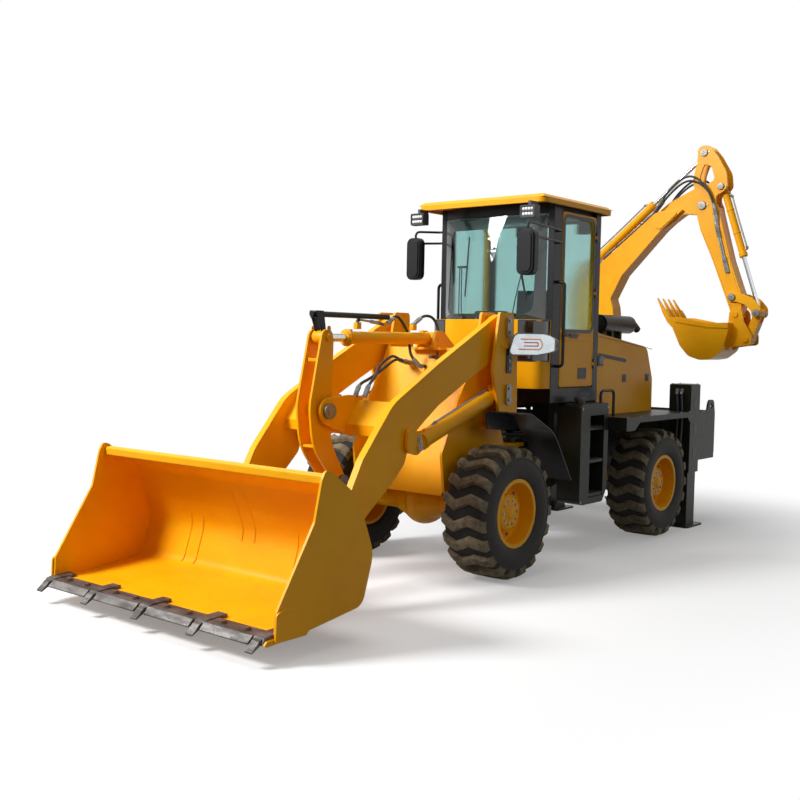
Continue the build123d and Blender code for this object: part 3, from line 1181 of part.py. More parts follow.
# Backhoe cylinders: name, base, eye, port side, gland distance, barrel radius, rod radius, base eye radius,
# base eye half width, base pin radius, rod's inner end, rod eye half width
hoe_rams = [
    ("boom_ram", boom_ram_base, boom_lobe, -1, 668, 50, 30, 56, 50, 30, 612, 44),
    ("dipper_ram", dipper_ram_base, dipper_ram_eye, 1, 1012, 46, 22, 50, 50, 28, 800, 54),
    ("hoe_bucket_ram", hoe_ram_base, hoe_ram_eye, 1, 812, 39, 22, 46, 54, 25, 640, 36),
]
for name, base, eye, side, gland, radius, rod_radius, boss, half, base_pin, rod_start, eye_half in hoe_rams:
    barrel = ram_barrel(gland, radius, rod_radius, boss, half, base_pin + pin_gap)
    write(barrel.moved(hoe_place(base, eye, side)), f"{name}_barrel")
    rod = ram_rod(rod_start, span(base, eye), rod_radius, 44, eye_half)
    write(rod.moved(hoe_place(base, eye, side)), f"{name}_rod")
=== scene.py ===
"""Dresses the articulated backhoe loader: paint, rubber, glass, fasteners, hoses and cab fittings."""

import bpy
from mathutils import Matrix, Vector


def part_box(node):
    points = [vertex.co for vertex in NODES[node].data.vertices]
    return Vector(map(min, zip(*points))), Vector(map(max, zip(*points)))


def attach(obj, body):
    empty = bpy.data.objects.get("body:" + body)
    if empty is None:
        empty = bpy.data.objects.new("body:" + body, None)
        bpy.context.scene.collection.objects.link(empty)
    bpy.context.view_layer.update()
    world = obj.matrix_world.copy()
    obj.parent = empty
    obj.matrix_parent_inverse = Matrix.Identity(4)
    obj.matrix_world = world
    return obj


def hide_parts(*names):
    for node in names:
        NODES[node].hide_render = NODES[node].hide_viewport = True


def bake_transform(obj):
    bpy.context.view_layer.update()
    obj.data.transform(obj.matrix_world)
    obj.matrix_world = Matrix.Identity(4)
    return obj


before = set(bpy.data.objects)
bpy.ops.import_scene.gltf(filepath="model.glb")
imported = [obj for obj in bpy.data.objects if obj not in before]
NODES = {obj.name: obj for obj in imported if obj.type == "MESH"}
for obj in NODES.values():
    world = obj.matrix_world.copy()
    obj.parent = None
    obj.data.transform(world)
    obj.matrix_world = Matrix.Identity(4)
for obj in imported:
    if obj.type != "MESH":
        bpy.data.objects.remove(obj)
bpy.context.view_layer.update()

from math import cos, hypot, pi, radians, sin

import bmesh
import bpy
from bpy.props import FloatProperty, FloatVectorProperty, IntProperty, PointerProperty
from mathutils import Matrix, Vector

bl_info = {
    "name": "Backhoe loader dressing",
    "version": (1, 0, 0),
    "blender": (4, 5, 0),
    "location": "View3D > Sidebar > Backhoe loader",
    "description": "Finishes an articulated backhoe loader piece by piece",
    "category": "Object",
}

MM = 0.001
# The drawing's axes start at the front axle's middle; the object's frame starts here (mm)
ORIGIN_X, ORIGIN_Y = -708, 97
WHEELBASE = 2670
TRACK_HALF = 775
WHEEL_RADIUS = 537.5
HOE_X = -4175


def place(x, y, z):
    """Point of the drawing, in mm, as a point of the object's frame, in metres."""
    return Vector(((x - ORIGIN_X) * MM, (y - ORIGIN_Y) * MM, z * MM))


def hoe(y, z, out=0.0):
    """Point in the backhoe's own plane, moved out of it toward the machine's front."""
    return place(HOE_X + out, y, z)


def linear(hex_colour, alpha=1.0):
    """sRGB hex value as linear colour."""
    parts = [int(hex_colour[i:i + 2], 16) / 255 for i in (1, 3, 5)]
    return tuple(c / 12.92 if c <= 0.04045 else ((c + 0.055) / 1.055) ** 2.4 for c in parts) + (alpha,)


# ------------------------------------------------------------------ node work
def feed(tree, node, feeds):
    """Links or fills a node's inputs by name or number; a node given as a value feeds its first output."""
    for name, value in feeds.items():
        if isinstance(value, bpy.types.Node):
            value = value.outputs[0]
        if isinstance(value, bpy.types.NodeSocket):
            tree.links.new(value, node.inputs[name])
        else:
            node.inputs[name].default_value = value


def put(tree, kind, feeds=None, **settings):
    """Adds a node, sets its properties, and links or fills its inputs by name or number."""
    made = tree.nodes.new(kind)
    for name, value in settings.items():
        setattr(made, name, value)
    feed(tree, made, feeds or {})
    return made


def ramp(tree, fac, low, high, low_value=0.0, high_value=1.0):
    """Smooth step of a value between two limits."""
    return put(tree, "ShaderNodeMapRange",
               {"Value": fac, "From Min": low, "From Max": high, "To Min": low_value,
                "To Max": high_value}, interpolation_type="SMOOTHSTEP").outputs[0]


def maths(tree, operation, *values):
    """Result of one maths node on values or sockets."""
    return put(tree, "ShaderNodeMath", dict(enumerate(values)), operation=operation).outputs[0]


def blank_material(name):
    """New node material with its shader, its tree and its object coordinates."""
    material = bpy.data.materials.new(name)
    material.use_nodes = True
    tree = material.node_tree
    tree.nodes.clear()
    shader = put(tree, "ShaderNodeBsdfPrincipled")
    put(tree, "ShaderNodeOutputMaterial", {"Surface": shader})
    coords = put(tree, "ShaderNodeTexCoord").outputs["Object"]
    return material, tree, shader, coords


def speckle(tree, coords, size_mm, detail=3.0, roughness=0.55, stretch=None):
    """Noise whose patches are about size_mm across."""
    if stretch:
        coords = put(tree, "ShaderNodeMapping", {"Vector": coords, "Scale": stretch}).outputs[0]
    return put(tree, "ShaderNodeTexNoise", {"Vector": coords, "Scale": 1000 / size_mm, "Detail": detail,
                                            "Roughness": roughness}).outputs["Fac"]


def mixed(tree, fac, a, b, blend="MIX"):
    """Colour mix of two colours or sockets."""
    node = put(tree, "ShaderNodeMix", {0: fac, 6: a, 7: b}, data_type="RGBA", blend_type=blend)
    return node.outputs[2]


def enamel(name, hex_colour, dark_hex, roughness, edge=0.35, dust=0.25, coat=0.4):
    """Sprayed two-pack machine enamel: a glossy film with faint orange peel, softened plate edges painted a
    lighter tone as a highlight, and road dust that gathers toward the ground."""
    material, tree, shader, coords = blank_material(name)
    drift = speckle(tree, coords, 420, 3)
    grime = speckle(tree, coords, 38, 5, 0.65)
    base = mixed(tree, ramp(tree, drift, 0.35, 0.7), linear(hex_colour), linear(dark_hex))
    height = put(tree, "ShaderNodeSeparateXYZ", {0: coords}).outputs[2]
    low = ramp(tree, height, 0.1, 1.15, 1.0, 0.0)
    facing = put(tree, "ShaderNodeNewGeometry")
    up = ramp(tree, put(tree, "ShaderNodeSeparateXYZ", {0: facing.outputs["Normal"]}).outputs[2], 0.2, 0.95,
              0.35, 1.0)
    film = maths(tree, "MULTIPLY", low, ramp(tree, grime, 0.42, 0.72))
    film = maths(tree, "MULTIPLY", maths(tree, "MULTIPLY", film, up), dust)
    rounded = put(tree, "ShaderNodeBevel", {"Radius": 0.006}, samples=4).outputs[0]
    # Painted highlight: where the rounded shading normal turns from the face, the edge is lifted toward a
    # lighter tone of the paint; edge sets how strong this painted highlight is.
    edge_turn = put(tree, "ShaderNodeVectorMath", {0: rounded, 1: facing.outputs["Normal"]},
                    operation="DOT_PRODUCT")
    worn = ramp(tree, edge_turn.outputs["Value"], 0.80, 0.97, edge, 0.0)
    edge_highlight_colour = tuple(min(1.0, c * 1.5 + 0.02) for c in linear(hex_colour)[:3]) + (1.0,)
    base = mixed(tree, worn, base, edge_highlight_colour)
    base = mixed(tree, film, base, linear("#8A7350"))
    peel = speckle(tree, coords, 3.5, 1)
    bump = put(tree, "ShaderNodeBump", {"Height": peel, "Normal": rounded, "Strength": 0.05,
                                        "Distance": 0.0004})
    feed(tree, shader, {"Base Color": base,
                        "Roughness": ramp(tree, grime, 0.3, 0.8, roughness, roughness + 0.12),
                        "Normal": bump, "IOR": 1.5, "Specular IOR Level": 0.16,
                        "Coat Weight": coat, "Coat Roughness": 0.15})
    return material


def tyre_rubber(name, dirt_and_highlight):
    """Moulded carbon-black rubber: the tread blocks are lightened toward grey-brown, partly dried dirt and
    partly a painted highlight, and the walls stay dark.
    """
    material, tree, shader, coords = blank_material(name)
    tread_mottle = speckle(tree, coords, 60, 6, 0.7)
    fine = speckle(tree, coords, 5, 3)
    base = mixed(tree, ramp(tree, tread_mottle, 0.25, 0.75), linear("#0B0C0E"), linear("#131210"))
    # The grey-brown share is partly dried dirt and partly a painted highlight; the tread blocks take much of
    # it, the walls almost none.
    coat = ramp(tree, tread_mottle, 0.30, 0.62, dirt_and_highlight * 0.35, dirt_and_highlight)
    base = mixed(tree, coat, base, linear("#8C8066"))
    bump = put(tree, "ShaderNodeBump", {"Height": fine, "Strength": 0.25, "Distance": 0.001})
    feed(tree, shader, {"Base Color": base, "Normal": bump, "Roughness": 0.72,
                        "Specular IOR Level": 0.25})
    return material


def hard_chrome(name):
    """Ground hard chrome on the cylinder rods: a bright mirror with fine turning marks across the rod."""
    material, tree, shader, coords = blank_material(name)
    marks = speckle(tree, coords, 2.5, 2)
    feed(tree, shader, {"Base Color": linear("#C9CED3"), "Metallic": 1.0,
                        "Roughness": ramp(tree, marks, 0.3, 0.7, 0.10, 0.2)})
    return material


def bare_steel(name, hex_colour, rust_share, roughness):
    """Worked steel plate or bolt, mill-dark with brown rust starting in the pores."""
    material, tree, shader, coords = blank_material(name)
    pores = speckle(tree, coords, 14, 6, 0.7)
    scuff = speckle(tree, coords, 55, 3, 0.6, (1.0, 0.25, 1.0))
    rust = ramp(tree, pores, 0.62 - 0.3 * rust_share, 0.80 - 0.25 * rust_share)
    base = mixed(tree, ramp(tree, scuff, 0.3, 0.7), linear(hex_colour), linear("#6E6C69"))
    base = mixed(tree, rust, base, linear("#5B3217"))
    feed(tree, shader, {"Base Color": base, "Metallic": ramp(tree, rust, 0, 1, 0.75, 0.1),
                        "Roughness": ramp(tree, pores, 0.3, 0.8, roughness, roughness + 0.25)})
    bump = put(tree, "ShaderNodeBump", {"Height": pores, "Strength": 0.2, "Distance": 0.0008})
    feed(tree, shader, {"Normal": bump})
    return material


def plain_finish(name, hex_colour, roughness, grain_mm, grain_depth, metallic=0.0, coat=0.0):
    """Moulded or coated surface with a fine grain of its own and a slight drift of colour."""
    material, tree, shader, coords = blank_material(name)
    drift = speckle(tree, coords, 160, 3)
    shade = tuple(c * 0.82 for c in linear(hex_colour)[:3]) + (1.0,)
    base = mixed(tree, ramp(tree, drift, 0.3, 0.7), linear(hex_colour), shade)
    grain = speckle(tree, coords, grain_mm, 2)
    bump = put(tree, "ShaderNodeBump", {"Height": grain, "Strength": 0.4, "Distance": grain_depth * MM})
    feed(tree, shader, {"Base Color": base, "Normal": bump,
                        "Roughness": ramp(tree, grain, 0.3, 0.7, roughness, min(1.0, roughness + 0.1)),
                        "Metallic": metallic, "Coat Weight": coat})
    return material


def safety_glass(name, hex_colour, alpha):
    """Tempered 6 mm glazing with a green tint in the melt: what stands behind it shows undistorted, and its
    polished face mirrors the light."""
    material, tree, shader, coords = blank_material(name)
    film = speckle(tree, coords, 240, 4, 0.6)
    tint = tuple(c * 0.93 for c in linear(hex_colour)[:3]) + (1.0,)
    base = mixed(tree, ramp(tree, film, 0.4, 0.75), linear(hex_colour), tint)
    # The panes are cut flat or drawn in flat strips, so their own facing gives the clean reflection
    facing = put(tree, "ShaderNodeNewGeometry").outputs["True Normal"]
    feed(tree, shader, {"Base Color": base, "Normal": facing, "Coat Normal": facing,
                        "Transmission Weight": 1.0, "Roughness": 0.0, "IOR": 1.02, "Coat Weight": 1.0,
                        "Coat Roughness": 0.02, "Alpha": alpha})
    return material


FINISHES = {}


def finish_of(name):
    """The finish of that name, made when first asked for."""
    if name in FINISHES:
        return FINISHES[name]
    paint = bpy.context.scene.backhoe_paint
    yellow = "#%02X%02X%02X" % tuple(round(c * 255) for c in paint.machine_colour)
    shade = "#%02X%02X%02X" % tuple(round(c * 255) for c in paint.machine_shade)
    makers = {
        "yellow enamel": (enamel, yellow, shade, 0.34, 0.30, paint.dust, 0.06),
        "olive black enamel": (enamel, "#1D1F16", "#14160F", 0.45, 0.06, paint.dust * 0.3, 0.12),
        "black enamel": (enamel, "#121316", "#0D0E10", 0.40, 0.06, paint.dust * 0.3, 0.15),
        "dusty tread rubber": (tyre_rubber, 0.72),
        "tyre wall rubber": (tyre_rubber, 0.03),
        "hard chrome": (hard_chrome,),
        "worn edge steel": (bare_steel, "#3C3B3A", 0.35, 0.45),
        "rusty bolt steel": (bare_steel, "#6A5A48", 0.75, 0.5),
        "zinc plated steel": (bare_steel, "#8E9294", 0.05, 0.32),
        "greased pin steel": (bare_steel, "#77746C", 0.12, 0.35),
        "tinted safety glass": (safety_glass, "#8DC0BC", 0.62),
        "clear lamp lens": (safety_glass, "#EAF0F2", 0.35),
        "printed glass border": (plain_finish, "#4A5254", 0.18, 1.2, 0.02, 0.0, 0.5),
        "hydraulic hose rubber": (plain_finish, "#15161A", 0.5, 2.2, 0.25),
        "moulded black plastic": (plain_finish, "#1B1C1E", 0.48, 1.4, 0.12),
        "steel pipe": (plain_finish, "#8D8A82", 0.3, 3.0, 0.05, 0.9),
        "grained seat vinyl": (plain_finish, "#17181A", 0.5, 2.0, 0.3),
        "polished reflector": (plain_finish, "#E4E8EA", 0.12, 20, 0.05, 1.0),
        "amber lens": (plain_finish, "#D9680E", 0.15, 3.0, 0.1, 0.0, 0.8),
        "red lens": (plain_finish, "#A8130F", 0.15, 3.0, 0.1, 0.0, 0.8),
        "diode white": (plain_finish, "#F2F5F7", 0.2, 4.0, 0.05, 0.0, 0.8),
        # The corner glass is painted near-black as shade, standing for the dark inside behind the panes.
        "dark corner glass": (plain_finish, "#0B1413", 0.05, 60, 0.01, 0.0, 1.0),
        "smoked lamp back": (plain_finish, "#2B2F31", 0.25, 8.0, 0.05, 0.0, 0.4),
        "mirror silver": (plain_finish, "#DDE2E6", 0.03, 60, 0.01, 1.0),
    }
    maker, *values = makers[name]
    FINISHES[name] = maker(name, *values)
    return FINISHES[name]


# ------------------------------------------------------------------ mesh work
def linked(name, data):
    """New object in the scene around that data."""
    made = bpy.data.objects.new(name, data)
    bpy.context.scene.collection.objects.link(made)
    return made


def shown(name, mesh, finish, body, slot=None, crease=35):
    """Links a finished mesh and rides it on its body; its slot is not used."""
    if not mesh.materials:
        mesh.materials.append(finish_of(finish))
    if crease:
        mesh.shade_smooth()
        mesh.set_sharp_from_angle(angle=radians(crease))
    made = linked(name, mesh)
    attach(made, body)
    return made


def mesh_of(bm, name):
    """Plain mesh from a bmesh, with faces turned outward."""
    bmesh.ops.recalc_face_normals(bm, faces=bm.faces)
    mesh = bpy.data.meshes.new(name)
    bm.to_mesh(mesh)
    bm.free()
    return mesh


def block(name, low, high, soften, steps, finish, body, slot):
    """One softened block, named and riding on its body."""
    bm = bmesh.new()
    brick(bm, low, high, soften, steps)
    return built(name, bm, finish, body, slot)


def built(name, bm, finish, body, slot=None, crease=35):
    """Piece made from a bmesh, named and riding on its body."""
    return shown(name, mesh_of(bm, name), finish, body, slot, crease)


def frame_on(origin, heading, across=None):
    """Matrix whose Z runs along heading at origin."""
    z = Vector(heading).normalized()
    x = Vector(across) if across else (Vector((0, 0, 1)) if abs(z.z) < 0.9 else Vector((1, 0, 0)))
    y = z.cross(x).normalized()
    x = y.cross(z).normalized()
    turn = Matrix((x, y, z)).transposed().to_4x4()
    turn.translation = origin
    return turn


def slab(bm, corners, lift, soften=0.0, steps=2):
    """Plate between a closed outline and the same outline moved by lift, its edges softened."""
    low = [bm.verts.new(c) for c in corners]
    high = [bm.verts.new(Vector(c) + Vector(lift)) for c in corners]
    faces = [bm.faces.new(low[::-1]), bm.faces.new(high)]
    count = len(corners)
    for i in range(count):
        faces.append(bm.faces.new((low[i], low[(i + 1) % count], high[(i + 1) % count], high[i])))
    if soften:
        edges = list(dict.fromkeys(e for f in faces for e in f.edges))
        bmesh.ops.bevel(bm, geom=edges, offset=soften, segments=steps, profile=0.5, affect="EDGES",
                        clamp_overlap=True)


def brick(bm, low, high, soften=0.002, steps=2):
    """Softened block between two corners of the object's frame."""
    a, b = [Vector([f(p, q) for p, q in zip(low, high)]) for f in (min, max)]
    corners = [(a.x, a.y, a.z), (b.x, a.y, a.z), (b.x, b.y, a.z), (a.x, b.y, a.z)]
    slab(bm, corners, (0, 0, b.z - a.z), soften, steps)


def in_metres(rows):
    """Pairs of a profile from mm to metres."""
    return [(a * MM, b * MM) for a, b in rows]


def turned(bm, profile, matrix, sides=32, close=True):
    """Lathe-turned shape; the profile holds (radius, height) along the matrix's Z."""
    rings = []
    for radius, height in profile:
        if radius < 1e-6:
            rings.append([bm.verts.new(matrix @ Vector((0, 0, height)))])
        else:
            rings.append([bm.verts.new(matrix @ Vector((radius * cos(2 * pi * k / sides),
                                                        radius * sin(2 * pi * k / sides),
                                                        height))) for k in range(sides)])
    for a, b in zip(rings, rings[1:] + ([rings[0]] if close else [])):
        if len(a) == 1 and len(b) == 1:
            continue
        for k in range(sides):
            n = (k + 1) % sides
            if len(a) == 1:
                bm.faces.new((a[0], b[n], b[k]))
            elif len(b) == 1:
                bm.faces.new((a[k], a[n], b[0]))
            else:
                bm.faces.new((a[k], a[n], b[n], b[k]))


def closed_sheet(bm, front, back):
    """Closed body between two grids of points with the same counts."""
    grids = [[[bm.verts.new(point) for point in line] for line in grid] for grid in (front, back)]
    cols, rows = len(front) - 1, len(front[0]) - 1
    for g in grids:
        for i in range(cols):
            for j in range(rows):
                bm.faces.new((g[i][j], g[i + 1][j], g[i + 1][j + 1], g[i][j + 1]))
    rim = [(i, 0) for i in range(cols)] + [(cols, j) for j in range(rows)]
    rim += [(i, rows) for i in range(cols, 0, -1)] + [(0, j) for j in range(rows, 0, -1)]
    for (a, b), (c, d) in zip(rim, rim[1:] + rim[:1]):
        bm.faces.new((grids[0][a][b], grids[0][c][d], grids[1][c][d], grids[1][a][b]))


def smooth_curve(name, routes, samples):
    """Curve that follows each route's control points smoothly."""
    curve = bpy.data.curves.new(name, "CURVE")
    curve.dimensions = "3D"
    for route in routes:
        line = curve.splines.new("NURBS")
        line.points.add(len(route) - 1)
        for spot, point in zip(line.points, route):
            spot.co = (*point, 1.0)
        line.order_u = 3
        line.use_endpoint_u = True
        line.resolution_u = samples
    return linked(name, curve)


def spline_points(points, samples):
    """Points along a smooth open curve with those control points."""
    holder = smooth_curve("route", [points], samples)
    curve = holder.data
    found = bpy.data.meshes.new_from_object(holder)
    out = [v.co.copy() for v in found.vertices]
    bpy.data.objects.remove(holder)
    bpy.data.curves.remove(curve)
    bpy.data.meshes.remove(found)
    return out


def plain_mesh(holder, name):
    """Evaluated result of a piece's modifiers as a plain mesh."""
    bpy.context.view_layer.update()
    depsgraph = bpy.context.evaluated_depsgraph_get()
    mesh = bpy.data.meshes.new_from_object(holder.evaluated_get(depsgraph), depsgraph=depsgraph)
    mesh.name = name
    old = holder.data
    bpy.data.objects.remove(holder)
    if old.users == 0:
        if isinstance(old, bpy.types.Mesh):
            bpy.data.meshes.remove(old)
        else:
            bpy.data.curves.remove(old)
    return mesh


# ------------------------------------------------------------------ repeating pieces in Geometry Nodes
def new_tree(name, inputs):
    """Geometry Nodes tree with named inputs and one geometry output."""
    tree = bpy.data.node_groups.new(name, "GeometryNodeTree")
    tree.interface.new_socket("Geometry", in_out="INPUT", socket_type="NodeSocketGeometry")
    for label, kind, value in inputs:
        socket = tree.interface.new_socket(label, in_out="INPUT", socket_type=kind)
        if value is not None:
            socket.default_value = value
    tree.interface.new_socket("Geometry", in_out="OUTPUT", socket_type="NodeSocketGeometry")
    return tree


def apply_tree(holder, tree, values):
    """Puts the tree on a piece and sets its inputs by their identifiers."""
    modifier = holder.modifiers.new(tree.name, "NODES")
    modifier.node_group = tree
    for item in tree.interface.items_tree:
        if item.item_type == "SOCKET" and item.in_out == "INPUT" and item.name in values:
            modifier[item.identifier] = values[item.name]
    holder.update_tag()


def joined(tree, *parts):
    """Geometry of those nodes as one."""
    join = put(tree, "GeometryNodeJoinGeometry")
    for part in parts:
        feed(tree, join, {0: part})
    return join


def dressed_copies(tree, placed, inside):
    """Ends a tree: its copies made real, then given the material of its Finish input."""
    real = put(tree, "GeometryNodeRealizeInstances", {0: placed})
    dressed = put(tree, "GeometryNodeSetMaterial", {0: real, "Material": inside.outputs["Finish"]})
    put(tree, "NodeGroupOutput", {0: dressed})
    return tree


def bolt_tree():
    """Hex heads with washers on points that carry a facing and a radius."""
    if "hex bolts" in bpy.data.node_groups:
        return bpy.data.node_groups["hex bolts"]
    tree = new_tree("hex bolts", [("Head height", "NodeSocketFloat", 0.6),
                                  ("Washer spread", "NodeSocketFloat", 1.35),
                                  ("Finish", "NodeSocketMaterial", None)])
    inside = put(tree, "NodeGroupInput")
    facing = put(tree, "GeometryNodeInputNamedAttribute", {"Name": "facing"},
                 data_type="FLOAT_VECTOR").outputs[0]
    size = put(tree, "GeometryNodeInputNamedAttribute", {"Name": "size"}, data_type="FLOAT").outputs[0]
    head = put(tree, "GeometryNodeMeshCylinder",
               {"Vertices": 6, "Radius": 1.0, "Depth": inside.outputs["Head height"]})
    lift = maths(tree, "MULTIPLY_ADD", inside.outputs["Head height"], 0.5, 0.2)
    up = put(tree, "ShaderNodeCombineXYZ", {2: lift})
    head_up = put(tree, "GeometryNodeTransform", {"Geometry": head, "Translation": up})
    washer = put(tree, "GeometryNodeMeshCylinder", {"Vertices": 16, "Radius": inside.outputs["Washer spread"],
                                                    "Depth": 0.2})
    washer_up = put(tree, "GeometryNodeTransform",
                    {"Geometry": washer, "Translation": (0, 0, 0.1)})
    whole = joined(tree, head_up, washer_up)
    turn = put(tree, "FunctionNodeAlignRotationToVector", {"Vector": facing}, axis="Z")
    points = put(tree, "GeometryNodeMeshToPoints", {"Mesh": inside.outputs["Geometry"]})
    scale = put(tree, "ShaderNodeCombineXYZ", {0: size, 1: size, 2: size})
    placed = put(tree, "GeometryNodeInstanceOnPoints",
                 {"Points": points, "Instance": whole,
                  "Rotation": turn, "Scale": scale})
    return dressed_copies(tree, placed, inside)


def bolts(name, spots, body, finish="zinc plated steel", slot="grey_steel", height=0.6):
    """One piece of hex bolts; each spot is (point, facing, radius in mm)."""
    mesh = bpy.data.meshes.new(name + " points")
    mesh.from_pydata([spot[0] for spot in spots], [], [])
    mesh.attributes.new("facing", "FLOAT_VECTOR", "POINT")
    mesh.attributes.new("size", "FLOAT", "POINT")
    facing, size = mesh.attributes["facing"], mesh.attributes["size"]
    for index, (_, heading, radius) in enumerate(spots):
        facing.data[index].vector = Vector(heading).normalized()
        size.data[index].value = radius * MM
    holder = linked(name + " points", mesh)
    apply_tree(holder, bolt_tree(), {"Head height": height, "Washer spread": 1.35,
                                     "Finish": finish_of(finish)})
    made = plain_mesh(holder, name)
    return shown(name, made, finish, body, slot, crease=30)


def hose_tree():
    """Hose swept along a route with a crimped ferrule and a hex nut at each end."""
    if "crimped hose" in bpy.data.node_groups:
        return bpy.data.node_groups["crimped hose"]
    tree = new_tree("crimped hose", [("Radius", "NodeSocketFloat", 0.010),
                                     ("Ferrule length", "NodeSocketFloat", 0.045),
                                     ("Finish", "NodeSocketMaterial", None),
                                     ("Fitting", "NodeSocketMaterial", None)])
    inside = put(tree, "NodeGroupInput")
    ring = put(tree, "GeometryNodeCurvePrimitiveCircle",
               {"Resolution": 14, "Radius": inside.outputs["Radius"]})
    tube = put(tree, "GeometryNodeCurveToMesh",
               {"Curve": inside.outputs["Geometry"], "Profile Curve": ring,
                "Fill Caps": True})
    tube_dressed = put(tree, "GeometryNodeSetMaterial",
                       {0: tube, "Material": inside.outputs["Finish"]})
    fat = maths(tree, "MULTIPLY", inside.outputs["Radius"], 1.3)
    nut = maths(tree, "MULTIPLY", inside.outputs["Radius"], 1.65)
    sleeve = put(tree, "GeometryNodeMeshCylinder",
                 {"Vertices": 14, "Radius": fat, "Depth": inside.outputs["Ferrule length"]})
    hexagon = put(tree, "GeometryNodeMeshCylinder", {"Vertices": 6, "Radius": nut, "Depth": 0.016})
    both = joined(tree, sleeve, hexagon)
    ends = put(tree, "GeometryNodeCurveEndpointSelection", {"Start Size": 1, "End Size": 1})
    tangent = put(tree, "GeometryNodeInputTangent")
    kept = put(tree, "GeometryNodeCaptureAttribute", {"Geometry": inside.outputs["Geometry"]}, domain="POINT")
    kept.capture_items.new("VECTOR", "Heading")
    kept.capture_items.new("FLOAT", "At end")
    feed(tree, kept, {1: tangent, 2: ends})
    spots = put(tree, "GeometryNodeCurveToPoints", {0: kept}, mode="EVALUATED")
    turn = put(tree, "FunctionNodeAlignRotationToVector", {"Vector": kept.outputs[1]}, axis="Z")
    placed = put(tree, "GeometryNodeInstanceOnPoints",
                 {"Points": spots, "Selection": kept.outputs[2],
                  "Instance": both, "Rotation": turn})
    real = put(tree, "GeometryNodeRealizeInstances", {0: placed})
    fittings = put(tree, "GeometryNodeSetMaterial",
                   {0: real, "Material": inside.outputs["Fitting"]})
    put(tree, "NodeGroupOutput", {0: joined(tree, fittings, tube_dressed)})
    return tree


def hose(name, routes, body, radius=10.0, finish="hydraulic hose rubber", fitting="zinc plated steel",
         ferrule=45.0, samples=10, ends=None):
    """Hoses or pipes as one piece; each route is a list of points that a smooth line follows.
    ends is (second body, start, end) where the run crosses a joint; its values are not used, and a run given
    ends stays fixed in place instead of riding on its body."""
    holder = smooth_curve(name + " route", routes, samples)
    apply_tree(holder, hose_tree(), {"Radius": radius * MM, "Ferrule length": ferrule * MM,
                                     "Finish": finish_of(finish), "Fitting": finish_of(fitting)})
    made = plain_mesh(holder, name)
    mesh_piece = linked(name, made)
    made.shade_smooth()
    made.set_sharp_from_angle(angle=radians(40))
    if ends:
        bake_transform(mesh_piece)
    else:
        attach(mesh_piece, body)
    return mesh_piece


def ring_tree():
    """Copies of a lug turned round the wheel's axle."""
    if "tread ring" in bpy.data.node_groups:
        return bpy.data.node_groups["tread ring"]
    tree = new_tree("tread ring", [("Count", "NodeSocketInt", 22), ("Finish", "NodeSocketMaterial", None)])
    inside = put(tree, "NodeGroupInput")
    line = put(tree, "GeometryNodeMeshLine", {"Count": inside.outputs["Count"], "Offset": (0, 0, 0)})
    index = put(tree, "GeometryNodeInputIndex")
    step = maths(tree, "DIVIDE", 2 * pi, inside.outputs["Count"])
    about = put(tree, "ShaderNodeCombineXYZ", {1: maths(tree, "MULTIPLY", index, step)})
    spin = put(tree, "FunctionNodeEulerToRotation", {0: about})
    placed = put(tree, "GeometryNodeInstanceOnPoints",
                 {"Points": line, "Instance": inside.outputs["Geometry"],
                  "Rotation": spin})
    return dressed_copies(tree, placed, inside)


def row_tree():
    """Copies of a slat or rib in an even row."""
    if "even row" in bpy.data.node_groups:
        return bpy.data.node_groups["even row"]
    tree = new_tree("even row", [("Count", "NodeSocketInt", 8), ("Step", "NodeSocketVector", (0, 0, 0.02)),
                                 ("Finish", "NodeSocketMaterial", None)])
    inside = put(tree, "NodeGroupInput")
    line = put(tree, "GeometryNodeMeshLine",
               {"Count": inside.outputs["Count"], "Offset": inside.outputs["Step"]})
    placed = put(tree, "GeometryNodeInstanceOnPoints",
                 {"Points": line, "Instance": inside.outputs["Geometry"]})
    return dressed_copies(tree, placed, inside)


def repeated(name, bm, tree, values, finish):
    """Mesh of a bmesh that a Geometry Nodes tree repeats."""
    holder = linked(name + " one", mesh_of(bm, name + " one"))
    apply_tree(holder, tree, {**values, "Finish": finish_of(finish)})
    return plain_mesh(holder, name)


def row(name, bm, count, step, body, finish, slot):
    """A bmesh repeated in an even row, as one piece."""
    return shown(name, repeated(name, bm, row_tree(), {"Count": count, "Step": step}, finish), finish, body,
                 slot)


def ring(name, bm, count, body, finish, slot, move):
    """A bmesh repeated round the wheel's axle and then moved to its place, as one piece."""
    mesh = repeated(name, bm, ring_tree(), {"Count": count}, finish)
    mesh.transform(move)
    return shown(name, mesh, finish, body, slot)


def lathe(name, rows, matrix, finish, body, slot, sides=32, crease=35):
    """One turned piece, named and riding on its body."""
    bm = bmesh.new()
    turned(bm, rows, matrix, sides)
    return built(name, bm, finish, body, slot, crease)


def tubes(name, routes, radius, finish, body, slot, sides=8):
    """Round wire, pipes or weld beads along smooth lines, as one closed piece."""
    bm = bmesh.new()
    for route in routes:
        line = spline_points(route, 8) if len(route) > 2 else [Vector(p) for p in route]
        last = None
        count = len(line)
        side = None
        for index, point in enumerate(line):
            heading = (line[min(index + 1, count - 1)] - line[max(index - 1, 0)]).normalized()
            if side is None:
                side = heading.orthogonal().normalized()
            side = (side - heading * side.dot(heading)).normalized()
            other = heading.cross(side)
            turns = [2 * pi * k / sides for k in range(sides)]
            loop = [bm.verts.new(point + (side * cos(turn) + other * sin(turn)) * radius * MM)
                    for turn in turns]
            if last:
                for k in range(sides):
                    bm.faces.new((last[k], last[(k + 1) % sides], loop[(k + 1) % sides], loop[k]))
            else:
                bm.faces.new(loop[::-1])
            last = loop
        bm.faces.new(last)
    return built(name, bm, finish, body, slot, crease=40)


# ------------------------------------------------------------------ settings
def metre_setting(name, description, low, high, start):
    """Setting in metres."""
    return FloatProperty(name=name, description=description, unit="LENGTH", min=low, max=high, default=start)


